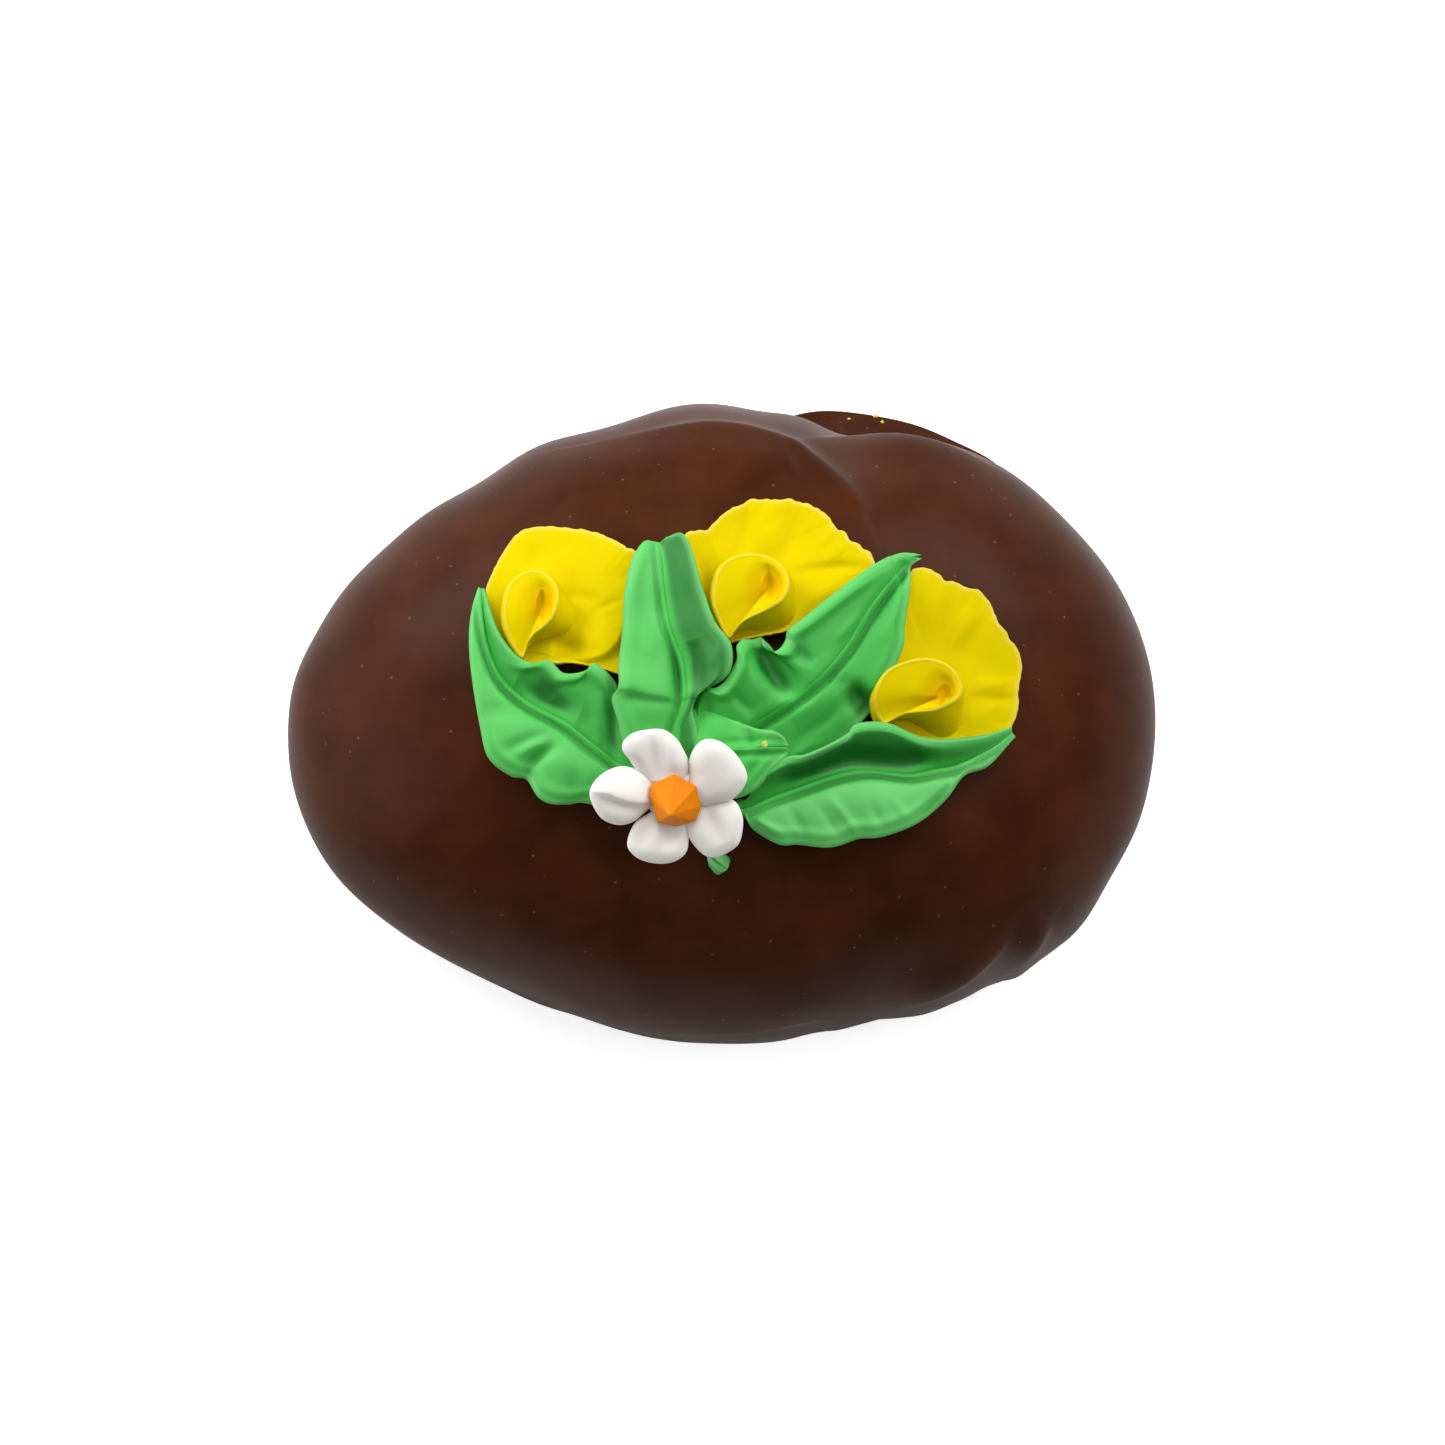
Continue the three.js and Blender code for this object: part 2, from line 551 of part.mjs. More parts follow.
const group = new THREE.Group();
group.add(meshFrom('egg', eggSolid(), 'chocolate'));

const grown = [];
for (const [name, build, finish] of STACK) {
  const solid = grown.reduce((rest, other) => rest.subtract(other), build(0));
  group.add(meshFrom(name, largestPiece(solid), finish));
  grown.push(build(SPACE));
}

// The base's middle becomes the origin.
const extent = new THREE.Box3().setFromObject(group);
const middle = extent.getCenter(new THREE.Vector3());
group.position.set(-middle.x, -middle.y, 0);

export default group;
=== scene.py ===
"""Chocolate egg with piped icing flowers.

The chocolate is one dipped piece with its foot and puddle. The icing pieces are sheets, cups
and petals that follow its dome. Shapes are worked out in millimetres from the egg's own centre,
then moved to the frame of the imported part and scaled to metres.
"""

import math

import bpy
import numpy as np
from bpy.props import FloatProperty, FloatVectorProperty, PointerProperty
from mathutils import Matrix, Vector


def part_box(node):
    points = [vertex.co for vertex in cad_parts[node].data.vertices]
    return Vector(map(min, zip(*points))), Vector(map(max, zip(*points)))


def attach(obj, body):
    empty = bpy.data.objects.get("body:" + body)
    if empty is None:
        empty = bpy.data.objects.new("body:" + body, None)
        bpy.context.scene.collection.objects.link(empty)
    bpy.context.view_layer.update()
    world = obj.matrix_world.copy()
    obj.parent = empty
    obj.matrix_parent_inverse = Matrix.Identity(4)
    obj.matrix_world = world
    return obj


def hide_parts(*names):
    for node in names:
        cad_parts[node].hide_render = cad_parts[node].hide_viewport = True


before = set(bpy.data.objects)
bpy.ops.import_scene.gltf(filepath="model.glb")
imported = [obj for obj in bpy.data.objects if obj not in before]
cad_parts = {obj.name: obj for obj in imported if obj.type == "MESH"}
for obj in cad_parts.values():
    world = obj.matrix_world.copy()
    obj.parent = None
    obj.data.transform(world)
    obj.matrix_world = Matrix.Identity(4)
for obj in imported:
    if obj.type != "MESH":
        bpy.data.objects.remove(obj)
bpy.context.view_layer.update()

bl_info = {
    "name": "Decorated Chocolate Egg",
    "version": (1, 0, 0),
    "blender": (4, 5, 0),
    "location": "View3D > Sidebar > Chocolate Egg",
    "description": "A hand-dipped chocolate egg with piped icing leaves and flowers",
    "category": "Add Mesh",
}

MM = 0.001

# ---------------------------------------------------------------- sizes in millimetres

EGG_HALF_LENGTH = 51.0
EGG_HALF_WIDTH = 37.4
EGG_BLUNTNESS = 0.089
EGG_CENTRE = (0.15, 0.12)
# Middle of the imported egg's box in plan, seen from the egg's own centre.
EGG_BOX_CENTRE = (0.056, 2.474)
EGG_HEIGHT = 45.0
# The belly is the widest height. Over it the dome bulges by its power, and under it the wall
# tucks in down to the foot.
BELLY_HEIGHT = 15.0
DOME_POWER = 0.96
BELLY_TUCK = 1.3
TUCK_HEIGHT = 3.6
FOOT_HEIGHT = 1.7
# How far the foot stands out past the wall where there is no puddle, and its curve.
FOOT_REACH = -1.0
FOOT_FLARE = 1.6
FOOT_SAG = 2.2
# Roundness of the foot's edge, and how far the foot has to stand out to have it.
FOOT_LIP = 0.5
FOOT_LIP_FADE = (-0.6, 1.0)

# Where the chocolate ran out into a puddle: angle in degrees, reach, spread.
PUDDLE_LOBES = (
    (65, 8.7, 19.7),
    (44.5, 2.1, 7),
    (290, -2.0, 30),
)
# Where the wall slopes out to the puddle instead of tucking in: angle in degrees, spread.
APRON = (75, 8)
APRON_HOLLOW = 1.3

# Swellings (+) and flats (-) of the dipped wall: angle in degrees, depth, spread.
WALL_SWELLS = (
    (203, 1.8, 17),
    (150, -0.85, 20),
    (95, 0.9, 9),
    (82, -0.6, 6),
    (66, -2.7, 10),
    (299, -2.3, 12),
    (276, -0.6, 8),
    (327, 0.8, 7),
)

# The edge of an overlapping coat: flat on its inner side, falling away outside.
COAT_STEP = ((-14, 30.7), (-7, 31.6), (-2.5, 31.8), (3, 31.3), (8.3, 29.4), (11.5, 26.9),
             (13.9, 23.6), (16, 19.9), (17.6, 15.8))
COAT_STEP_HEIGHT = 2.2
COAT_STEP_FADE = 8.5
COAT_STEP_SLOPE = 2.2

# Crests in the set coat, walked clockwise: height, width inside, fall outside, line.
# They fade out between two heights over the floor.
CREST_FADE = (4, 9)
COAT_CRESTS = (
    (0.35, 1.3, 0.8, [(-14, 30.7), (-2.5, 31.8), (3, 31.3), (8.3, 29.4), (13.9, 23.6),
                      (17.6, 15.8)]),
    (1.2, 3.0, 0.9, [(9.5, 30.4), (13.6, 31.4), (19.5, 31.2), (25.1, 30.3), (31.5, 28.4)]),
    (0.18, 0.7, 0.5, [(6.9, 29.2), (7.7, 26), (8.4, 23)]),
    (1.0, 2.2, 1.0, [(37.4, -24.6), (36, -26.8), (34.8, -28.4), (33.4, -29.7)]),
    (1.0, 2.0, 1.0, [(32.6, -25.2), (31.6, -27.4), (29.2, -29.5), (26.3, -31), (21.5, -32.6),
                     (18, -33.7)]),
    (0.55, 2.4, 0.7, [(22.5, -33.8), (16, -34.9), (9, -35.6), (2, -36.3), (-5, -36.5),
                      (-12, -35.8)]),
)
# Broad swellings of the dome: height, width on the left, on the right, line.
COAT_SWELLS = (
    (1.1, 9, 5.5, [(-33, -17), (-18, -27), (0, -30.5), (17, -30), (33, -22)]),
)

# Unevenness of the coat all over, and of its wall alone: depth, size, seed. The wall's own
# fades out between two heights.
COAT_LUMPS = ((0.10, 9, 3), (0.16, 20, 4))
WALL_LUMPS = (0.16, 7, 5)
WALL_FADE = (22, 34)

# Near the floor the relief stands level, and it dies out on the flat base.
LEVEL_FADE = (1.5, 5.0)
BASE_FADE = (0.0, 1.3)

# Dents (+) and bumps (-) in the wall: place in plan, depth, spread.
COAT_DENTS = (
    (11, -36.2, 0.45, 3.4),
    (31.5, -31, 0.4, 2.2),
    (24, -34, -0.6, 3.2),
)

# ---------------------------------------------------------------- small helpers

# How many points a drawn line has for each point that it is given.
LINE_FINENESS = 5


def bell(distance, spread):
    return np.exp(-((distance / spread) ** 2))


def blend(value, low, high):
    """0 below low, 1 above high, smooth between."""
    share = np.clip((value - low) / (high - low), 0, 1)
    return share * share * (3 - 2 * share)


def mix(a, b, share):
    return a + (b - a) * share


def angle_between(a, b):
    return (a - b + 180) % 360 - 180


def lumps(points, size, seed, waves=14):
    """A smooth uneven field, about -1 to 1, with lumps of the given size in millimetres."""
    draw = np.random.default_rng(seed)
    directions = draw.normal(size=(waves, 3))
    directions /= np.linalg.norm(directions, axis=1)[:, None]
    rates = 2 * math.pi / (size * draw.uniform(1.3, 3.0, waves))
    phases = draw.uniform(0, 2 * math.pi, waves)
    turns = np.tensordot(points, (directions * rates[:, None]).T, axes=1) + phases
    return np.sin(turns).sum(axis=-1) / math.sqrt(waves)


def spline(points, closed=False, per_span=24):
    """A centripetal Catmull-Rom curve through the points, as a function of its length share."""
    given = np.array(points, float)
    if closed:
        padded = np.vstack([given[-1], given, given[0], given[1]])
    else:
        padded = np.vstack([2 * given[0] - given[1], given, 2 * given[-1] - given[-2]])
    steps = np.arange(per_span)[:, None] / per_span
    drawn = []
    for p0, p1, p2, p3 in zip(padded, padded[1:], padded[2:], padded[3:]):
        d0, d1, d2 = (math.sqrt(max(np.linalg.norm(b - a), 1e-6))
                      for a, b in ((p0, p1), (p1, p2), (p2, p3)))
        start = ((p1 - p0) / d0 - (p2 - p0) / (d0 + d1) + (p2 - p1) / d1) * d1
        end = ((p2 - p1) / d1 - (p3 - p1) / (d1 + d2) + (p3 - p2) / d2) * d1
        square = -3 * p1 + 3 * p2 - 2 * start - end
        cube = 2 * p1 - 2 * p2 + start + end
        drawn.append(p1 + start * steps + square * steps ** 2 + cube * steps ** 3)
    drawn.append(given[:1] if closed else given[-1:])
    line = np.vstack(drawn)
    lengths = np.concatenate([[0], np.cumsum(np.linalg.norm(np.diff(line, axis=0), axis=1))])

    def at(share):
        where = np.asarray(share) * lengths[-1]
        return np.stack([np.interp(where, lengths, line[:, k]) for k in range(line.shape[1])], -1)

    return at


def beside_line(x, y, line):
    """Signed distance to a polyline, positive on its right, and the share along it."""
    best = np.full(np.shape(x), 1e9)
    along = np.zeros(np.shape(x))
    spans = len(line) - 1
    for i in range(spans):
        (ax, ay), (bx, by) = line[i][:2], line[i + 1][:2]
        dx, dy = bx - ax, by - ay
        held = np.clip(((x - ax) * dx + (y - ay) * dy) / (dx * dx + dy * dy), 0, 1)
        ex, ey = x - ax - held * dx, y - ay - held * dy
        distance = np.hypot(ex, ey)
        nearer = distance < np.abs(best)
        side = np.where(dy * ex - dx * ey < 0, -1.0, 1.0)
        best = np.where(nearer, side * distance, best)
        along = np.where(nearer, (i + held) / spans, along)
    return best, along


def draw_line(points):
    """The smooth line through the points, as a polyline."""
    return spline(points)(np.linspace(0, 1, LINE_FINENESS * len(points)))


def faded_ends(along, start, power):
    """Near 1 along a line and falling off towards both of its ends."""
    return np.sin(math.pi * np.clip(along, start, 1 - start)) ** power


def in_plan(x, y):
    return np.stack([x, y, 0 * x], -1)


def crest_profile(distance, inside, outside):
    """A sharp crest: rounded off on the right of its line, falling away on the left."""
    return np.where(distance > 0, bell(distance, inside),
                    np.exp(np.minimum(distance, 0) / outside))


def relief(x, y, lines):
    """Ridges (+) and valleys (-) along lines: height, width on the left, on the right, line."""
    total = np.zeros(np.shape(x))
    for height, left, right, points in lines:
        distance, along = beside_line(x, y, draw_line(points))
        width = np.where(distance > 0, right, left)
        total += height * faded_ends(along, 0.03, 0.7) * bell(distance, width)
    return total


# ---------------------------------------------------------------- the egg's surface


def plain_radius(angle):
    """Radius of the plain outline x = a cos u, y = b sin u (1 + k cos u) at an angle."""
    u = np.linspace(-math.pi, math.pi, 1441)
    x = EGG_CENTRE[0] + EGG_HALF_LENGTH * np.cos(u)
    y = EGG_CENTRE[1] + EGG_HALF_WIDTH * np.sin(u) * (1 + EGG_BLUNTNESS * np.cos(u))
    at = np.degrees(np.arctan2(y, x))
    order = np.argsort(at)
    return np.interp(angle_between(np.asarray(angle, float), 0), at[order],
                     np.hypot(x, y)[order], period=360)


def wall_radius(angle):
    radius = plain_radius(angle)
    for at, depth, spread in WALL_SWELLS:
        radius = radius + depth * bell(angle_between(angle, at), spread)
    return radius


def foot_radius(angle):
    radius = wall_radius(angle) + FOOT_REACH
    for at, reach, spread in PUDDLE_LOBES:
        radius = radius + reach * bell(angle_between(angle, at), spread)
    return radius


def coat_step(x, y):
    distance, along = beside_line(x, y, COAT_STEP)
    height = COAT_STEP_HEIGHT * faded_ends(along, 0.04, 0.6)
    return height * crest_profile(distance, COAT_STEP_FADE, COAT_STEP_SLOPE)


def dome_height(x, y):
    angle = np.degrees(np.arctan2(y, x))
    share = np.minimum(np.hypot(x, y) / wall_radius(angle), 0.999)
    drop = (1 - share ** (2 / DOME_POWER)) ** (DOME_POWER / 2)
    return BELLY_HEIGHT + (EGG_HEIGHT - BELLY_HEIGHT) * drop + coat_step(x, y) * drop


def over_dome(x, y, lift):
    return np.stack([x, y, dome_height(x, y) + lift], -1)


def find_egg_shift():
    """From the egg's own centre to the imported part's origin."""
    low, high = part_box("egg")
    return np.array([(low[0] + high[0]) / (2 * MM) - EGG_BOX_CENTRE[0],
                     (low[1] + high[1]) / (2 * MM) - EGG_BOX_CENTRE[1], 0])


EGG_SHIFT = find_egg_shift()

# ---------------------------------------------------------------- meshes


def add_piece(name, points, faces, material, stands_for, slot, **masks):
    """Makes one smooth mesh piece from points in millimetres and fits it into the frame."""
    mesh = bpy.data.meshes.new(name)
    mesh.from_pydata((points + EGG_SHIFT) * MM, [], faces)
    mesh.polygons.foreach_set("use_smooth", [True] * len(mesh.polygons))
    for mask, values in masks.items():
        layer = mesh.attributes.new(mask, "FLOAT", "POINT")
        layer.data.foreach_set("value", np.asarray(values, np.float32))
    mesh.materials.append(material)
    mesh.update()
    piece = bpy.data.objects.new(name, mesh)
    bpy.context.scene.collection.objects.link(piece)
    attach(piece, "root")
    if stands_for:
        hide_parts(stands_for)


def loft(loops):
    """Closed loops joined into a skin, with each end closed round a point in its middle."""
    rows, count = loops.shape[:2]
    points = np.vstack([loops.reshape(-1, 3), loops[0].mean(axis=0), loops[-1].mean(axis=0)])
    j = np.arange(count)
    following = (j + 1) % count
    starts = count * np.arange(rows - 1)[:, None]
    sides = np.stack([starts + j, starts + following, starts + following + count,
                      starts + j + count], -1).reshape(-1, 4).tolist()
    last = (rows - 1) * count
    first_fan = np.stack([np.full(count, rows * count), following, j], -1).tolist()
    last_fan = np.stack([np.full(count, rows * count + 1), last + j, last + following],
                        -1).tolist()
    return points, outward(points, sides + first_fan + last_fan)


def outward(points, faces):
    """Turns all faces over if they point inwards."""
    corners = points[[face[:3] for face in faces]]
    corners = corners - points.mean(axis=0)
    sides = np.cross(corners[:, 1] - corners[:, 0], corners[:, 2] - corners[:, 0])
    volume = (corners[:, 0] * sides).sum()
    return faces if volume > 0 else [face[::-1] for face in faces]


def join_parts(parts):
    points, faces = [], []
    count = 0
    for part_points, part_faces in parts:
        points.append(part_points)
        faces += [[k + count for k in face] for face in part_faces]
        count += len(part_points)
    return np.vstack(points), faces


EDGE_TURNS = np.radians([60, 30, 0, -30, -60])
UP = np.array([0, 0, 1])


def round_rim(inner, edge, under):
    """The half-round rim of a sheet: inner and edge are on its upper face, under is below."""
    out = edge - inner
    out[:, 2] = 0
    out /= np.linalg.norm(out, axis=1)[:, None] + 1e-9
    middle = (edge + under) / 2
    half = (edge[:, 2] - under[:, 2])[:, None] / 2
    return np.stack([middle + half * (math.cos(turn) * out + math.sin(turn) * UP)
                     for turn in EDGE_TURNS], axis=1)


def sheet_loops(upper, lower):
    """Cross-sections of a long sheet: upper face, round rim, lower face, round rim."""
    right = round_rim(upper[:, -2], upper[:, -1], lower[:, -1])
    left = round_rim(upper[:, 1], upper[:, 0], lower[:, 0])
    return np.concatenate([upper, right, lower[:, ::-1], left[:, ::-1]], axis=1)


def fan_loops(upper, lower):
    """Rings of a round sheet: over its upper face, round its rim and back underneath."""
    rim = round_rim(upper[:, -2], upper[:, -1], lower[:, -1])
    return np.concatenate([upper, rim, lower[:, ::-1]], axis=1).transpose(1, 0, 2)


def rim_values(face, rim):
    return np.full((len(face), len(EDGE_TURNS)), rim)


def sheet_mask(face, rim):
    """A mask over the loops that sheet_loops makes: both faces, and one value on the rims."""
    rims = rim_values(face, rim)
    loops = np.concatenate([face, rims, face[:, ::-1], rims], axis=1)
    return np.append(loops, [0, 0])


def fan_mask(face, rim):
    """The same over the rings that fan_loops makes."""
    rings = np.concatenate([face, rim_values(face, rim), face[:, ::-1]], axis=1).T
    return np.append(rings, [0, 0])


# ---------------------------------------------------------------- materials


def new_material(name):
    material = bpy.data.materials.new(name)
    material.use_nodes = True
    return material, material.node_tree, material.node_tree.nodes["Principled BSDF"]


def surface_grain_group():
    """Fine unevenness that every sweet surface shares: a height and a slow mottle mask."""
    tree = bpy.data.node_groups.new("Surface Grain", "ShaderNodeTree")
    tree.interface.new_socket("Grain Size", in_out="INPUT", socket_type="NodeSocketFloat")
    tree.interface.new_socket("Mottle Size", in_out="INPUT", socket_type="NodeSocketFloat")
    tree.interface.new_socket("Height", in_out="OUTPUT", socket_type="NodeSocketFloat")
    tree.interface.new_socket("Mottle", in_out="OUTPUT", socket_type="NodeSocketFloat")
    nodes, links = tree.nodes, tree.links
    source = nodes.new("NodeGroupInput")
    result = nodes.new("NodeGroupOutput")
    place = nodes.new("ShaderNodeTexCoord")
    for socket, output, detail in (("Grain Size", "Height", 4.0), ("Mottle Size", "Mottle", 3.0)):
        rate = nodes.new("ShaderNodeMath")
        rate.operation = "DIVIDE"
        rate.inputs[0].default_value = 1.0
        links.new(source.outputs[socket], rate.inputs[1])
        noise = nodes.new("ShaderNodeTexNoise")
        noise.inputs["Detail"].default_value = detail
        links.new(place.outputs["Object"], noise.inputs["Vector"])
        links.new(rate.outputs[0], noise.inputs["Scale"])
        links.new(noise.outputs["Fac"], result.inputs[output])
    return tree


def grain_node(tree, grain, mottle):
    node = tree.nodes.new("ShaderNodeGroup")
    node.node_tree = bpy.data.node_groups.get("Surface Grain") or surface_grain_group()
    node.inputs["Grain Size"].default_value = grain
    node.inputs["Mottle Size"].default_value = mottle
    return node


def ramp_node(tree, source, stops):
    ramp = tree.nodes.new("ShaderNodeValToRGB")
    elements = ramp.color_ramp.elements
    while len(elements) < len(stops):
        elements.new(0.5)
    for element, (at, value) in zip(elements, stops):
        element.position = at
        element.color = (*value[:3], 1.0)
    tree.links.new(source, ramp.inputs["Fac"])
    return ramp.outputs["Color"]


def mix_node(tree, share, first, second):
    """Mixes two colours; each of the three may be a socket or a constant."""
    node = tree.nodes.new("ShaderNodeMix")
    node.data_type = "RGBA"
    for socket, value in ((node.inputs[0], share), (node.inputs[6], first),
                          (node.inputs[7], second)):
        if isinstance(value, bpy.types.NodeSocket):
            tree.links.new(value, socket)
        else:
            socket.default_value = value
    return node.outputs[2]


def bump_node(tree, height, strength, distance, shader):
    node = tree.nodes.new("ShaderNodeBump")
    node.inputs["Strength"].default_value = strength
    node.inputs["Distance"].default_value = distance
    tree.links.new(height, node.inputs["Height"])
    tree.links.new(node.outputs["Normal"], shader.inputs["Normal"])


def scaled(colour, factor=1.0):
    return (*(min(1.0, c * factor) for c in colour[:3]), 1.0)


def grey(value):
    return (value, value, value)


GRAIN_DEPTH = 0.05 * MM
CHOCOLATE_GRAIN = 0.35 * MM
CHOCOLATE_MOTTLE = 6.5 * MM
CHOCOLATE_GLOSS = 0.042
SPECK_SPACING = 2.5 * MM
SPECK_COLOUR = (0.22, 0.14, 0.10)


def chocolate_material(colour):
    """Dark dipped chocolate: a slow mottle in colour and shine, and fine pale specks."""
    material, tree, shader = new_material("Dipped Chocolate")
    grain = grain_node(tree, CHOCOLATE_GRAIN, CHOCOLATE_MOTTLE)
    tone = ramp_node(tree, grain.outputs["Mottle"], (
        (0.32, scaled(colour, 0.80)), (0.7, scaled(colour, 1.22))))
    specks = tree.nodes.new("ShaderNodeTexVoronoi")
    specks.inputs["Scale"].default_value = 1 / SPECK_SPACING
    place = tree.nodes.new("ShaderNodeTexCoord")
    tree.links.new(place.outputs["Object"], specks.inputs["Vector"])
    dots = ramp_node(tree, specks.outputs["Distance"], (
        (0.0, grey(0.5)), (0.045, grey(0.3)), (0.08, grey(0.0))))
    speckled = mix_node(tree, dots, tone, scaled(SPECK_COLOUR))
    tree.links.new(speckled, shader.inputs["Base Color"])
    dullness = ramp_node(tree, grain.outputs["Mottle"], ((0.25, grey(0.31)), (0.75, grey(0.39))))
    tree.links.new(dullness, shader.inputs["Roughness"])
    shader.inputs["Specular IOR Level"].default_value = CHOCOLATE_GLOSS
    bump_node(tree, grain.outputs["Height"], 0.12, GRAIN_DEPTH, shader)
    return material


ICING_GRAIN = 0.28 * MM
ICING_MOTTLE = 5 * MM
# Colours of the painted highlight on rims and crumbs, also used as painted light on lit leaf
# halves.
LEAF_HIGHLIGHT_COLOUR = (0.20, 0.60, 0.20)
YELLOW_HIGHLIGHT_COLOUR = (0.66, 0.54, 0.12)


def icing_material(name, colour, roughness, gloss, hollow=None, painted_highlight=None):
    """Dried sugar icing: a painted highlight along its thin rims, painted shade down in its
    hollows.
    """
    material, tree, shader = new_material(name)
    grain = grain_node(tree, ICING_GRAIN, ICING_MOTTLE)
    tone = mix_node(tree, grain.outputs["Mottle"], scaled(colour, 0.94), scaled(colour, 1.04))
    # Painted shade by one mask, then painted highlight by the edge mask.
    for mask, tint in (("hollow", hollow), ("edge", painted_highlight)):
        if tint is not None:
            attribute = tree.nodes.new("ShaderNodeAttribute")
            attribute.attribute_name = mask
            tone = mix_node(tree, attribute.outputs["Fac"], tone, scaled(tint))
    tree.links.new(tone, shader.inputs["Base Color"])
    shader.inputs["Roughness"].default_value = roughness
    shader.inputs["Specular IOR Level"].default_value = gloss
    shader.inputs["Subsurface Weight"].default_value = 0.2
    shader.inputs["Subsurface Radius"].default_value = (1.0, 0.7, 0.4)
    shader.inputs["Subsurface Scale"].default_value = 0.5 * MM
    bump_node(tree, grain.outputs["Height"], 0.10, GRAIN_DEPTH, shader)
    return material


# ---------------------------------------------------------------- chocolate

EGG_SIDES = 440
DOME_RINGS = 150
TUCK_RINGS = 30
FOOT_RINGS = 12
LIP_TURNS = np.radians([30, 60, 90, 120])


def egg_profile():
    """Rings of the smooth egg from the top to the base: rows by angle by (x, y, z)."""
    angle = np.arange(EGG_SIDES) * 360 / EGG_SIDES
    across, along = np.cos(np.radians(angle)), np.sin(np.radians(angle))
    wall, foot = wall_radius(angle), foot_radius(angle)
    lip = FOOT_LIP * blend(foot - wall, *FOOT_LIP_FADE)
    apron = np.maximum(foot - wall, 0) * bell(angle_between(angle, APRON[0]), APRON[1])
    rings = []

    def ring(radius, z):
        rings.append(np.stack([radius * across, radius * along, z + 0 * angle], -1))

    for i in range(1, DOME_RINGS + 1):
        turn = math.pi / 2 * i / DOME_RINGS
        radius = wall * math.sin(turn) ** DOME_POWER
        rise = EGG_HEIGHT - BELLY_HEIGHT + coat_step(radius * across, radius * along)
        ring(radius, BELLY_HEIGHT + rise * abs(math.cos(turn)) ** DOME_POWER)
    for i in range(1, TUCK_RINGS + 1):
        turn = math.pi / 2 * i / TUCK_RINGS
        slope = apron * (i / TUCK_RINGS) ** APRON_HOLLOW
        ring(wall - BELLY_TUCK * (1 - math.cos(turn)) + slope,
             mix(BELLY_HEIGHT, TUCK_HEIGHT, math.sin(turn)))
    inner = wall - BELLY_TUCK + apron
    for i in range(1, FOOT_RINGS + 1):
        share = i / FOOT_RINGS
        ring(mix(inner, foot - lip, share ** FOOT_FLARE),
             mix(TUCK_HEIGHT, FOOT_HEIGHT, 1 - (1 - share) ** FOOT_SAG))
    for turn in LIP_TURNS:
        ring(foot - lip + lip * math.sin(turn), FOOT_HEIGHT * (0.5 + 0.5 * math.cos(turn)))
    ring(foot - lip, 0.0)
    return np.array(rings)


def surface_normals(rings):
    downwards = np.gradient(rings, axis=0)
    sideways = (np.roll(rings, -1, axis=1) - np.roll(rings, 1, axis=1)) / 2
    normals = np.cross(downwards, sideways)
    return normals / (np.linalg.norm(normals, axis=-1)[..., None] + 1e-12)


def chocolate_relief(points):
    """How far the set coat stands proud of the smooth egg, in millimetres."""
    x, y, z = points[..., 0], points[..., 1], points[..., 2]
    depth = relief(x, y, COAT_SWELLS)
    for height, size, seed in COAT_LUMPS:
        depth += height * lumps(points, size, seed)
    height, size, seed = WALL_LUMPS
    stretched = points * np.array([1, 1, 0.5])
    depth += height * (1 - blend(z, *WALL_FADE)) * lumps(stretched, size, seed)
    for height, inside, outside, points_of_line in COAT_CRESTS:
        distance, along = beside_line(x, y, draw_line(points_of_line))
        crest = height * faded_ends(along, 0.02, 0.8) * crest_profile(distance, inside, outside)
        depth += crest * blend(z, *CREST_FADE)
    for dent_x, dent_y, dent, spread in COAT_DENTS:
        depth -= dent * bell(np.hypot(x - dent_x, y - dent_y), spread)
    return depth


def build_chocolate(settings):
    rings = egg_profile()
    height = rings[..., 2]
    normals = surface_normals(rings)
    normals[..., 2] *= blend(height, *LEVEL_FADE)
    depth = chocolate_relief(rings) * blend(height, *BASE_FADE)
    points, faces = loft(rings + normals * depth[..., None])
    add_piece("Chocolate_Egg", points, faces, chocolate_material(settings.chocolate),
              "egg", "chocolate")
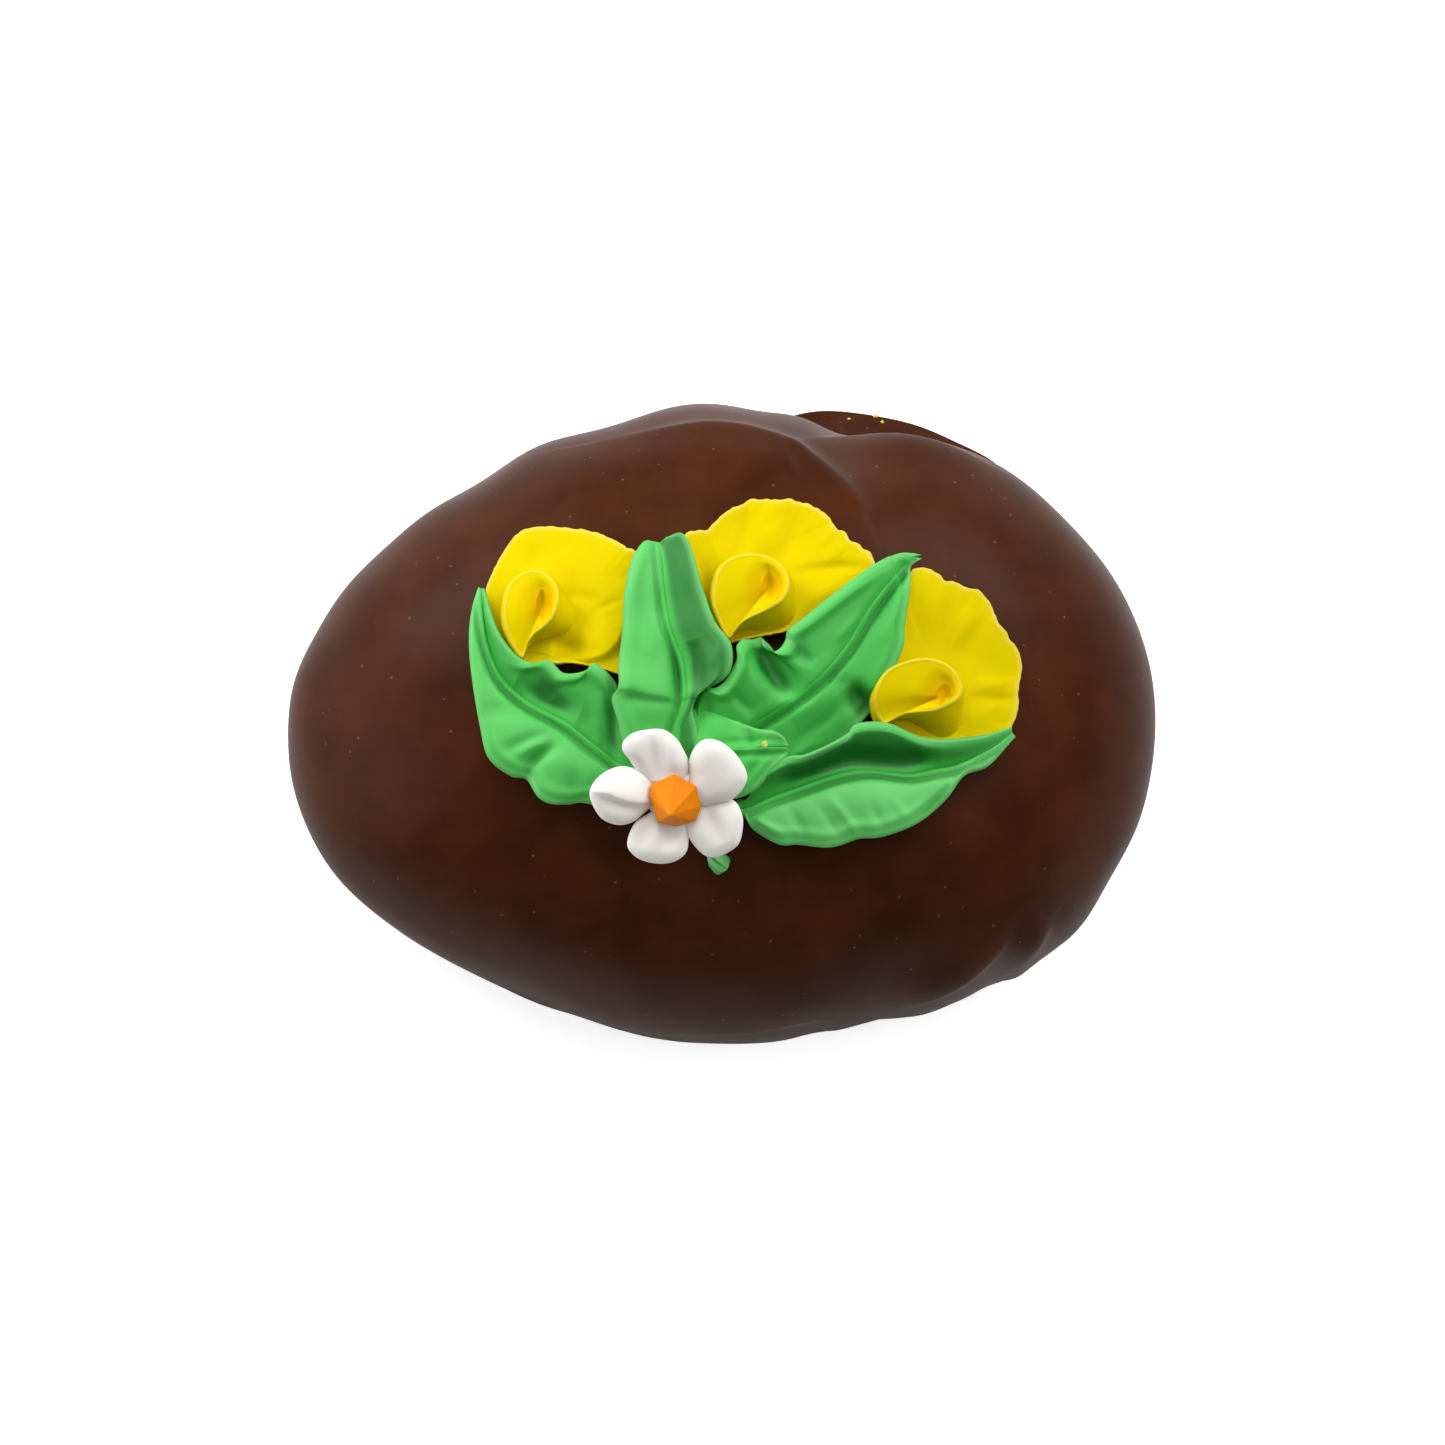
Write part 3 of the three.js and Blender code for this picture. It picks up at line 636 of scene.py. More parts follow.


# ---------------------------------------------------------------- leaves

# A leaf is drawn as three lines in plan from its base to its tip: the midrib and its two
# edges, each point with its height over the chocolate. groove and puff are the depth of the
# line beside the rib and the swelling of each half, on the left and on the right; curl is the
# height of the roll along each edge; the light-and-shade value of each half paints it darker
# as painted shade (+) or paler as painted light (-), standing in for the side turned from or
# to the lights; a resting leaf lies on the chocolate along its middle.
LEAVES = {
    "leaf_left": {
        "resting": True,
        "painted_light_and_shade": (-0.15, 0.3),
        "groove": (0.5, 0),
        "puff": (0.35, 0.45),
        "curl": (0.25, 0.5),
        "rib": [(-9, -11.6, 2.4), (-13.8, -8, 1.9), (-17.2, -5.2, 1.7), (-21.2, -2.8, 1.7),
            (-24.2, -0.1, 1.7), (-25.9, 3.6, 1.9), (-27.1, 10.7, 2.5)],
        "left": [(-10.3, -15.1, 2.4), (-15.1, -13.6, 2.97), (-16.9, -13.8, 3.54),
            (-18.9, -13.7, 3.88), (-20.1, -13, 3.9), (-21.5, -10.9, 3.35), (-23, -10.7, 3.99),
            (-25.5, -8.8, 4.59), (-26.5, -5.3, 4.29), (-27.8, 3.2, 3.84), (-27.7, 8.6, 3.25),
            (-27.2, 10.8, 2.6)],
        "right": [(-9, -7.9, 2.2), (-10.3, -6.9, 2.4), (-11.4, -2.6, 3), (-12.3, -0.9, 3.2),
            (-14.5, 0.8, 3.3), (-15.3, 0.1, 3.2), (-17.8, -0.1, 3.2), (-19.5, 1.4, 3.4),
            (-21.4, 1.3, 3.4), (-23.2, 2.3, 3.5), (-25.3, 5.3, 3.6), (-26.9, 10.7, 2.6)],
        "folds": [
            (-0.3, 0.72, 0.72, [(-24.5, -8.4), (-22.3, -7.5), (-19.1, -6.3)]),
            (0.35, 0.65, 0.65, [(-23, -9.1), (-21.4, -8.1), (-18.9, -7.2)]),
            (-0.6, 0.65, 0.72, [(-21.7, -11.5), (-21.4, -10), (-20.5, -8.9), (-18.2, -7.7)]),
            (0.25, 1.26, 1.26, [(-20.5, -11), (-19.1, -9.7), (-17.1, -8.9)]),
            (-0.35, 1.16, 1.16, [(-16.2, -14), (-16.6, -12), (-15.8, -10.4)]),
            (-0.28, 1.01, 1.01, [(-26.8, -4.3), (-24.5, -3.6), (-22, -4.1)]),
            (-1.0, 1.5, 1.2, [(-23.2, -0.5), (-20.8, -1.9), (-18.3, -3.2), (-15.6, -4.6)]),
            (0.4, 1.16, 1.01, [(-13.7, -1.7), (-13.4, -4.7), (-13, -8)]),
            (-0.8, 0.72, 0.87, [(-12.2, -1.4), (-12.3, -4.7), (-12, -8), (-11.2, -10.2)]),
            (-0.35, 1.01, 1.01, [(-19.7, 1.4), (-19.4, -0.6), (-18.6, -2.6)]),
            (0.25, 1.16, 1.16, [(-17.2, -0.9), (-16.1, -3), (-15, -5.4)]),
        ],
    },
    "leaf_top": {
        "resting": False,
        "painted_light_and_shade": (-0.12, 0.88),
        "groove": (0.45, 0),
        "puff": (0.35, 0.35),
        "curl": (0.3, 0.35),
        "rib": [(-5.4, -13, 3), (-4.9, -6.5, 3.2), (-4.2, -4.2, 3.4), (-4.2, 0.3, 3.3),
            (-5.8, 5.2, 3.4), (-7, 14.6, 4.3)],
        "left": [(-8.9, -11.9, 3.6), (-10.6, -7.6, 3.8), (-11, -5.7, 4), (-11.7, -3, 4.3),
            (-11, -1.9, 4.6), (-11, 0.5, 4.7), (-10.6, 4.4, 4.8), (-10.4, 8.8, 4.9),
            (-9.6, 12.8, 4.9), (-8.4, 14.9, 4.7), (-7.5, 14.9, 4.5)],
        "right": [(-2.4, -12, 3.4), (-3.2, -6.1, 3.8), (-3.5, -4.5, 3.9), (-2.4, -2.3, 4.2),
            (-1.7, -2.1, 4.5), (0.3, -0.6, 5.2), (0.6, 2.4, 5.2), (-1.2, 5.3, 4.6),
            (-2.5, 9, 4.4), (-4.7, 15.7, 4.6), (-6.4, 15.3, 4.4)],
        "folds": [
            (0.8, 2.3, 0.43, [(-12.1, -1.7), (-9.5, -2.4), (-7.6, -2.8), (-5, -3)]),
            (0.4, 1.15, 1.38, [(-10.9, -4.7), (-8.1, -4.2), (-5.7, -4.7)]),
            (-0.9, 1.01, 1.16, [(-3.5, 3.5), (-2.8, 0.7), (-3, -2.7)]),
            (0.2, 0.72, 0.72, [(-1.7, -0.1), (-0.6, 1.6), (0.2, 3.2)]),
            (0.3, 1.15, 1.03, [(-8.1, 1.3), (-7.1, 3.8), (-7.3, 7)]),
            (-0.5, 0.58, 0.58, [(-5.8, 2.4), (-5.2, -0.4), (-4.9, -3.4)]),
            (-0.3, 0.87, 0.87, [(-9, 3.6), (-9.2, 8.2), (-8.6, 13)]),
        ],
    },
    "leaf_right_upper": {
        "resting": False,
        "painted_light_and_shade": (0.12, 0.1),
        "groove": (0, 0.48),
        "puff": (0.4, 0.3),
        "curl": (0.6, 0.25),
        "rib": [(-2.4, -10.1, 2), (-0.2, -8, 2.2), (9, -2.1, 3.2), (13.2, 2.4, 3.4),
            (16.5, 7.8, 3.6), (21, 13.5, 4.4)],
        "left": [(-3.5, -6.8, 1.6), (-2.7, -2.4, 2.6), (-2, -1.7, 3.6), (-0.8, -2.3, 4.2),
            (0.3, -1.8, 4.5), (1.8, 0.8, 4.8), (1.8, 2.3, 4.6), (2.5, 3.2, 4), (3.6, 3.4, 3.4),
            (4.5, 3.6, 3.6), (4.7, 2.7, 4.2), (5.7, 1.9, 4.4), (6.6, 2.2, 4.4), (7.3, 3.3, 4.4),
            (7.5, 4.3, 4.5), (9, 5.5, 4.7), (19.5, 13.5, 4.6), (21.9, 13.8, 4.4)],
        "right": [(1.5, -12.8, 1.8), (7.5, -10.1, 1.8), (10, -8.6, 1.8), (12.2, -7.5, 1.9),
            (16.6, -3, 3), (17.2, -1.7, 3.6), (19.6, 3.3, 4.4), (19.7, 5, 4.4), (20.6, 11.1, 4.5),
            (20.7, 12.4, 4.5), (22, 13.5, 4.4)],
        "folds": [
            (-1.1, 1.16, 1.03, [(3.7, 4.2), (4.2, 1.8), (5.6, -0.4), (7.3, -2.1), (8.9, -2.3)]),
            (0.35, 0.87, 1.01, [(2.4, 2.1), (3.2, -0.8), (4.7, -3.5)]),
            (-0.35, 0.72, 0.72, [(0.7, -2.1), (2.3, -3.7), (3.7, -4.9)]),
            (0.25, 0.51, 0.51, [(12.2, 3.1), (13.6, 4.7), (15.3, 6.6)]),
            (0.4, 1.38, 1.38, [(7.3, -5.2), (10.1, -3.5), (12.8, -1.7)]),
            (-1.2, 1.15, 1.49, [(13.7, -1.3), (15.5, -3), (16.8, -4.7)]),
            (-0.22, 0.43, 0.51, [(8.1, -7.3), (11.5, -5), (13.6, -2.8)]),
            (-0.22, 0.43, 0.51, [(9.3, -8.4), (12.4, -6.3), (14.4, -4.1)]),
            (0.35, 0.72, 0.72, [(17.7, 2.9), (19.2, 6.9), (20.2, 10.7)]),
            (-0.3, 0.72, 0.72, [(16.2, 4.4), (18, 8), (19.6, 10.9)]),
            (-0.6, 0.58, 0.58, [(19.6, 10.6), (20.1, 12.1), (20.6, 13.1)]),
            (-0.5, 0.87, 0.87, [(7.6, 4.1), (8.6, 1.9), (10.3, 0.8)]),
        ],
    },
    "leaf_right_lower": {
        "resting": True,
        "painted_light_and_shade": (0.4, -0.35),
        "groove": (0, 0.5),
        "puff": (0.1, 0.5),
        "curl": (0.9, 0.3),
        "rib": [(-0.7, -15.2, 2.2), (2.6, -14.7, 2.2), (6.4, -13.1, 2), (15.5, -10.3, 1.9),
            (20.6, -10.7, 2), (23.3, -10.1, 2.1), (25.9, -9.5, 2.3), (30.2, -7.3, 2.7),
            (32.2, -5.7, 2.9)],
        "left": [(1.5, -14, 2.8), (2.9, -13.8, 3.2), (4.4, -11.3, 3.9), (7.3, -9.7, 4.2),
            (8.9, -9.5, 4.2), (13.7, -7.2, 4.5), (14.5, -6.3, 4.5), (18, -5.9, 4.2),
            (22.4, -7.3, 4), (28.6, -6.7, 3.8), (32.2, -5.2, 3)],
        "right": [(0.4, -15.5, 2.2), (2.3, -15.2, 2.79), (2.9, -16.3, 3.03), (6.4, -18.3, 3.96),
            (8.1, -18.2, 3.75), (11.8, -18.5, 4.16), (15.1, -17.5, 3.9), (17.1, -17.4, 4.19),
            (21.1, -15.9, 3.82), (24.5, -13.1, 3.86), (26.8, -10.2, 3.41), (29.2, -9.2, 3.33),
            (32.5, -5.9, 2.9)],
        "folds": [
            (-1.5, 1.4, 1.1, [(5.5, -12.4), (9.5, -10.8), (14.1, -9.3), (19.7, -9.4), (24.7, -9)]),
            (0.28, 0.51, 0.51, [(11.7, -13.6), (13.5, -15.7), (15.2, -18.1)]),
            (-0.2, 0.58, 0.58, [(10.3, -14), (11.8, -16.1), (13.3, -18.4)]),
            (-0.2, 0.58, 0.58, [(16.1, -13.9), (17, -15.4), (17.9, -17.3)]),
            (0.28, 0.58, 0.58, [(3.4, -16), (5.1, -17), (6.7, -18)]),
            (-0.2, 0.65, 0.65, [(7.3, -14.6), (8.4, -16.4), (9.3, -18.6)]),
            (-0.4, 0.87, 0.87, [(21.4, -16), (23.3, -13.9), (25.1, -11.6)]),
            (0.15, 0.58, 0.58, [(18.6, -13.8), (19.7, -15), (20.6, -16.1)]),
            (0.2, 0.72, 0.72, [(25.9, -8.1), (28.7, -7.4), (31.2, -6.1)]),
        ],
    },
    "leaf_centre": {
        "resting": False,
        "painted_light_and_shade": (0, 0),
        "groove": (0.1, 0.2),
        "puff": (0.45, 0.35),
        "curl": (0.1, 0.3),
        "rib": [(-4, -11.5, 4), (-1.8, -9.6, 4.1), (0.7, -8.8, 4.2), (6.9, -8.4, 3.9)],
        "left": [(-4.5, -9.9, 3), (-4.5, -7.3, 2.9), (-3.9, -5, 2.6), (-2.9, -4.2, 2.4),
            (-1.5, -4.2, 2.6), (4, -6.8, 4.2), (5.5, -7, 4.4), (6.6, -7.5, 4.3), (7.1, -8.3, 4)],
        "right": [(-2.4, -14.2, 4), (2.9, -13, 4.4), (5.3, -10.6, 4.4), (7, -9, 4.1),
            (7.1, -8.5, 4)],
        "folds": [
            (-0.45, 0.72, 0.72, [(1.8, -5.6), (2.9, -7.1), (3.3, -8.7)]),
            (0.25, 1.03, 1.03, [(4.2, -7.2), (5.1, -8.5), (5.1, -9.7)]),
            (0.2, 1.16, 1.16, [(-2.4, -4.9), (-0.7, -5.6), (0.9, -6.5)]),
            (-0.35, 0.58, 0.58, [(2.6, -12.5), (3.3, -11.1), (4.2, -9.8)]),
        ],
    },
    "leaf_tip": {
        "resting": True,
        "painted_light_and_shade": (-1, -1),
        "groove": (0.1, 0.1),
        "puff": (0.1, 0.1),
        "curl": (0, 0),
        "rib": [(-1.8, -19.2, 1.6), (-0.8, -20.2, 1.5), (0.5, -21, 1.2)],
        "left": [(-0.9, -19.2, 1.5), (0.3, -19.9, 1.5), (0.65, -20.7, 1.2)],
        "right": [(-1.6, -20.2, 1.5), (-0.7, -21, 1.5), (0.2, -21.2, 1.2)],
        "folds": [],
    },
}

LEAF_ROWS = 190
LEAF_COLUMNS = 55
LEAF_MID_THICKNESS = 1.5
# Columns crowd towards the midrib by this power.
COLUMN_CROWDING = 1.3
# A midrib is narrow on a half that has a groove beside it, and a broad shoulder on the other.
RIB_WIDTH = 0.5
RIB_SHOULDER = 1.3
GROOVE_AT = 0.9
GROOVE_WIDTH = 0.42
# Below 1, the crown of a half swells nearest to the midrib.
CROWN_LEAN = 0.8
CURL_INSET = 0.8
CURL_WIDTH = 0.6
# Below 1, a half climbs fastest beside the midrib.
TROUGH = 0.75
LEAF_LUMPS = (0.1, 3.6)
# A half narrower than these widths has no crown, or no roll along its edge.
CROWN_FADE = (1, 4)
ROLL_FADE = (1.5, 3.5)
# Shares of a leaf's length: the part of a wave that its rib's height follows, and its thin tip.
RIB_SPAN = (0.1, 0.92)
RIB_FULLNESS = 0.6
TIP_START = 0.85
TIP_THINNESS = 0.5
# A resting leaf leaves the chocolate between these shares of its width and of its length.
REST_WIDTH = (0.25, 0.6)
REST_LENGTH = (0.86, 0.97)
# How deep the icing sinks into the chocolate where it lies on it.
ICING_SINK = 0.3
# Painted highlight along the rim, painted light and painted shade on each half, and painted
# shade down the deep lines, all carried by the leaf's two colour masks.
LEAF_HIGHLIGHT_WIDTH = 0.6
LEAF_RIM_HIGHLIGHT = 0.3
LEAF_RIM_SHADE = 0.2
HALF_LIGHT_SHADE_FADE = (0.05, 0.3)
LINE_SHADE = 0.85
LINE_SHADE_FADE = (0.05, 0.9)
RIB_SHADE_SHARE = 1.6


def build_leaf(name, number, settings, material):
    """A wavy sheet from its base to its tip, its resting middle reaching down to the egg."""
    leaf = LEAVES[name]
    thin_edge = settings.leaf_edge / MM
    along = np.linspace(0, 1, LEAF_ROWS)
    rib, left, right = (spline(leaf[line])(along)[:, None] for line in ("rib", "left", "right"))
    even = np.linspace(-1, 1, LEAF_COLUMNS)
    column = np.sign(even) * np.abs(even) ** COLUMN_CROWDING
    across = np.abs(column)[None, :]
    edge = np.where(column[None, :, None] < 0, left, right)
    groove, puff, curl, painted_light_and_shade = (np.where(column < 0, *leaf[key])[None, :]
                                    for key in ("groove", "puff", "curl", "painted_light_and_shade"))
    x, y = (mix(rib[..., k], edge[..., k], across) for k in (0, 1))
    reach = np.hypot(edge[..., 0] - rib[..., 0], edge[..., 1] - rib[..., 1])
    distance = across * reach
    taper = np.sin(math.pi * mix(*RIB_SPAN, along[:, None])) ** RIB_FULLNESS
    rib_width = np.where(groove > 0, RIB_WIDTH, RIB_SHOULDER)
    ridge = settings.rib_height / MM * bell(distance, rib_width)
    ridge = (ridge - groove * bell(distance - GROOVE_AT, GROOVE_WIDTH)) * taper
    crown = puff * np.sin(math.pi * across ** CROWN_LEAN) * blend(reach, *CROWN_FADE)
    from_edge = (1 - across) * reach
    roll = curl * bell(from_edge - CURL_INSET, CURL_WIDTH) * blend(reach, *ROLL_FADE)
    folds = relief(x, y, leaf["folds"])
    lump_height, lump_size = LEAF_LUMPS
    lift = mix(rib[..., 2], edge[..., 2], across ** TROUGH) + crown + ridge
    lift = lift + folds + roll + lump_height * lumps(in_plan(x, y), lump_size, 20 + number)
    thin = mix(1.0, TIP_THINNESS, blend(along[:, None], TIP_START, 1))
    thickness = mix(LEAF_MID_THICKNESS, thin_edge, across) * thin
    resting = (1 - blend(across, *REST_WIDTH)) * (1 - blend(along[:, None], *REST_LENGTH))
    underside = mix(lift - thickness, -ICING_SINK, resting * leaf["resting"])
    underside = np.maximum(underside, -ICING_SINK)
    upper = over_dome(x, y, np.maximum(lift, underside + thin_edge * thin))
    points, faces = loft(sheet_loops(upper, over_dome(x, y, underside)))
    # Painted shade down the folds, the groove and each shaded half; painted light on each lit half
    # and a painted highlight along the rim.
    half_light_and_shade = painted_light_and_shade * blend(across, *HALF_LIGHT_SHADE_FADE)
    depth = LINE_SHADE * blend(-folds - RIB_SHADE_SHARE * ridge, *LINE_SHADE_FADE)
    depth = np.minimum(depth + np.maximum(half_light_and_shade, 0), 1)
    rim = LEAF_RIM_HIGHLIGHT * (1 - blend(from_edge, 0, LEAF_HIGHLIGHT_WIDTH))
    rim = np.maximum(rim, np.maximum(-half_light_and_shade, 0) * (1 - depth))
    add_piece(name.capitalize(), points, faces, material, name, "leaf_icing",
              edge=sheet_mask(rim, LEAF_RIM_HIGHLIGHT),
              hollow=sheet_mask(depth, LEAF_RIM_SHADE))


# ---------------------------------------------------------------- sweet peas

# The standard is a fan round its stem. The keel's rim and the throat in it are closed lines;
# spread is the direction in which its foot runs out, how far, and over which angle.
SWEET_PEAS = {
    "left": {
        "stem": (-20.6, 3.4),
        "fan": [(-22.23, 1.85), (-24.06, 3.68), (-26.31, 8.56), (-26.37, 10.4), (-23.37, 16.84),
            (-21.34, 17.82), (-14.04, 16.52), (-11.1, 14.76), (-9.41, 13.59), (-9.44, 3.69),
            (-10.75, 0.09), (-13.41, 0.72), (-16.75, 1.5)],
        "folds": [
            (0.9, 0.49, 4, [(-10.1, 11.7), (-10.5, 8.4), (-10.9, 5.8), (-11.7, 3.7), (-13, 2.4),
                (-14.7, 2), (-16.8, 2.2), (-19, 2.6)]),
            (-0.38, 1.26, 1.26, [(-20.8, 16.2), (-21.2, 14.2), (-21.4, 12.2)]),
            (0.26, 1.2, 1.2, [(-18.1, 15.4), (-17.1, 12.8), (-16.6, 10.4)]),
            (-0.26, 0.7, 0.7, [(-18.4, 9.6), (-15.9, 9.3), (-13.3, 8.4)]),
            (-0.21, 0.49, 0.49, [(-14.4, 7.4), (-12.4, 8.2), (-10.4, 8.7)]),
            (-0.9, 0.98, 0.98, [(-19.2, 4), (-17.3, 3.5), (-15.1, 2.5)]),
            (0.26, 1.54, 1.54, [(-14.5, 2.7), (-14.3, 4.7), (-15.1, 6.4)]),
            (-1, 1.12, 1.12, [(-26.6, 9.2), (-25.7, 6.5), (-24.2, 3.7), (-22.3, 1.9)]),
        ],
        "rim": [(-22.23, 2.06, 3.3), (-24.29, 5.79, 4.11), (-24.08, 10.04, 4.48),
            (-22.86, 11.6, 4.63), (-21.07, 12.17, 4.78), (-19.39, 11.45, 4.93),
            (-18.26, 9.94, 5.08), (-18.03, 8.04, 5.22), (-18.59, 6.18, 5.3), (-19.7, 4.99, 5.22),
            (-20.82, 4.3, 4.93), (-21.62, 3.43, 4.19)],
        "throat": [(-20.04, 9.9), (-19.3, 8.9), (-19.1, 7.5), (-19.9, 6.2), (-20.8, 7.8)],
        "spread": (-30, 2.3, 50),
    },
    "top": {
        "stem": (2.6, 5.2),
        "fan": [(0.72, 3.59), (-1.05, 4.96), (-3.94, 12.98), (-4.51, 14.81), (-4.29, 15.79),
            (-2.62, 16.49), (-1.5, 16.47), (-1.06, 17.21), (1.4, 19.36), (2.18, 19.63),
            (2.97, 20.28), (6.33, 20.35), (7.68, 20.41), (8.47, 20.05), (9.36, 19.93),
            (11.8, 18.09), (12.67, 16.72), (13.34, 16.61), (14.11, 15.3), (14.89, 15.09),
            (15.44, 14.5), (16.22, 13.93), (16.85, 11.43), (15.37, 9.01), (9.23, 5.5),
            (2.04, 3.94)],
        "folds": [
            (-0.34, 1.12, 0.7, [(2.7, 19.4), (2.5, 16.9), (2.2, 13.9)]),
            (-0.34, 0.63, 0.63, [(7.4, 11.6), (10.4, 12.2), (13.7, 12.5), (16.7, 12.3)]),
            (0.3, 1.2, 1.2, [(9.2, 8.3), (11.5, 9.7), (14.3, 10.7)]),
            (-0.8, 0.84, 0.84, [(-2.1, 12), (-1.6, 9.1), (-1, 6.1)]),
            (0.26, 1.3, 1.3, [(5.4, 17.9), (6, 16.1), (6.5, 14.2)]),
            (0.13, 0.56, 0.56, [(12.6, 16.5), (12.9, 14.9), (13, 12.8)]),
            (-0.17, 0.98, 0.98, [(8.2, 19.5), (7.9, 16.7), (7.6, 14.2)]),
            (0.21, 1.12, 1.12, [(-1.1, 15.4), (-0.4, 13.4), (0.1, 12)]),
        ],
        "rim": [(0.61, 3.68, 3.3), (-1.15, 7.46, 4.11), (-0.6, 11.41, 4.48), (0.71, 12.81, 4.56),
            (2.47, 13.41, 4.63), (4.46, 13.3, 4.71), (6.11, 12.48, 4.85), (7.2, 11.05, 5),
            (7.42, 9.28, 5.15), (6.76, 7.75, 5.3), (5.33, 6.7, 5.37), (2.26, 5.31, 4.85),
            (1.38, 4.53, 4.19)],
        "throat": [(5.1, 11.5), (6.1, 10.1), (6.0, 8.8), (5.2, 8.0), (4.4, 8.6), (4.4, 10.1)],
        "spread": (-70, 2.2, 55),
    },
    "right": {
        "stem": (19.6, -4),
        "fan": [(18.97, 0.79), (20.13, 5.16), (21.38, 12.43), (24.2, 11.89), (24.75, 11.21),
            (25.77, 11.16), (27.35, 10.44), (28.39, 10.41), (29.95, 8.76), (30.71, 6.58),
            (31.5, 5.83), (32.05, 4.83), (32.73, 3.96), (33.27, 1.7), (32.77, -0.85),
            (32.88, -1.96), (31.47, -5.54), (29.29, -6.46), (24.75, -7.61), (18.04, -5.93),
            (17.49, -4.18)],
        "folds": [
            (-0.34, 1.26, 0.98, [(26.4, 10.3), (24.9, 6.8), (23.8, 2.5)]),
            (0.26, 1.26, 1.26, [(23.5, 10.6), (23, 7.4), (22.2, 3.5)]),
            (0.26, 0.98, 0.98, [(28, 8.2), (26.3, 5.3), (24.9, 2.6)]),
            (-0.26, 1.12, 1.12, [(30, 7.2), (27.9, 4.5), (26.3, 1.8)]),
            (-0.3, 0.7, 0.84, [(26.9, -2.2), (29.3, -1.8), (32.6, -1.8)]),
            (0.21, 0.84, 0.84, [(27.4, -0.3), (29.9, -0.2), (32.7, 0.3)]),
            (-0.21, 0.98, 0.98, [(29.9, -3.1), (30.8, -3.9), (31.5, -5.2)]),
            (0.21, 1.26, 1.26, [(28.2, -2.9), (27.8, -4.3), (27.4, -6.3)]),
        ],
        "rim": [(17.48, -5.42, 3.3), (16.52, -2.97, 4.19), (18.03, 0.23, 4.48), (22, 1.83, 4.63),
            (24.12, 1.58, 4.71), (25.7, 0.54, 4.85), (26.49, -0.88, 5), (26.28, -2.48, 5.22),
            (23.62, -4.2, 5.37), (19.86, -4.62, 4.85)],
        "throat": [(24.6, -0.8), (25.3, -1.6), (25.3, -2.6), (24.7, -3.3), (23.3, -3.1),
            (23.6, -1.8)],
        "spread": (-80, 3, 55),
    },
}

FAN_ROWS = 300
FAN_COLUMNS = 46
FAN_START = 0.04
PETAL_MID_THICKNESS = 1.3
# The petal's height over the chocolate at its stem, and how much higher its rim stands.
PETAL_LIFT = 1.5
PETAL_FLARE = 0.9
PETAL_LUMPS = (0.14, 4)
TOOTH_PITCH = 0.9
# A painted highlight along the standard's rim and painted shade down its folds.
PETAL_HIGHLIGHT_WIDTH = 0.4
PETAL_RIM_HIGHLIGHT = 0.35
PETAL_LINE_SHADE = 0.5


def build_standard(key, number, settings, material):
    """The broad back petal of a sweet pea, a fan round its stem with a nibbled edge."""
    pea = SWEET_PEAS[key]
    edge = spline(pea["fan"], closed=True)(np.arange(FAN_ROWS) / FAN_ROWS)
    out = np.linspace(FAN_START, 1, FAN_COLUMNS)[None, :]
    stem = np.array(pea["stem"])
    reach = np.linalg.norm(edge - stem, axis=1)[:, None]
    walk = np.concatenate([[0], np.cumsum(np.linalg.norm(np.diff(edge, axis=0), axis=1))])
    draw = np.random.default_rng(40 + number)
    spots = np.arange(0, walk[-1], TOOTH_PITCH / 2)
    teeth = np.interp(walk, spots, draw.uniform(-1, 1, len(spots)), period=walk[-1] + 0.1)
    nibble = settings.tooth_depth / MM * teeth[:, None]
    stretch = 1 + nibble / reach * blend(out, 0.85, 1.0)
    x, y = (mix(stem[k], edge[:, k][:, None], out * stretch) for k in (0, 1))
    folds = relief(x, y, pea["folds"])
    lump_height, lump_size = PETAL_LUMPS
    lift = PETAL_LIFT + PETAL_FLARE * out ** 3 + folds + 0.5 * nibble * out ** 4
    lift = lift + lump_height * lumps(in_plan(x, y), lump_size, 50 + number)
    thin_edge = settings.petal_edge / MM
    underside = np.maximum(lift - mix(PETAL_MID_THICKNESS, thin_edge, out), -ICING_SINK)
    upper = over_dome(x, y, np.maximum(lift, underside + thin_edge))
    points, faces = loft(fan_loops(upper, over_dome(x, y, underside)))
    # Painted highlight along the rim, painted shade down the folds.
    rim = PETAL_RIM_HIGHLIGHT * (1 - blend((1 - out) * reach, 0.0, PETAL_HIGHLIGHT_WIDTH))
    depth = PETAL_LINE_SHADE * blend(-folds, 0.1, 1.0)
    add_piece(f"Sweet_Pea_{key}_standard", points, faces, material,
              f"sweet_pea_{key}_standard", "yellow_icing",
              edge=fan_mask(rim, PETAL_RIM_HIGHLIGHT), hollow=fan_mask(depth, 0.0))


KEEL_SIDES = 200
KEEL_THROAT_RINGS = 12
KEEL_CUP_RINGS = 36
KEEL_OUTSIDE_RINGS = 24
KEEL_WALL = 0.7
KEEL_LEAST_RUN = 0.2
# Over how much of its width the cup climbs from its floor to its rim.
KEEL_CLIMB = 2.2
# How far the throat sinks below the cup's floor, and how level that floor is: 1 is level.
KEEL_PIT = 0.7
KEEL_LEVELLING = 0.35
KEEL_INSET = 0.4
KEEL_BULGE = 0.4
KEEL_FOOT_LIFT = 0.9
KEEL_LUMPS = (0.07, 3)
# Painted warm shade in the throat: strength, and how far it reaches.
KEEL_THROAT_SHADE = (0.9, 1.8)
# Round the rim from the inside to the outside: turn in degrees, and how much painted highlight
# lies there.
KEEL_RIM = ((130, 0.0), (105, 0.1), (80, 0.24), (50, 0.18), (20, 0.05), (-10, 0.0))


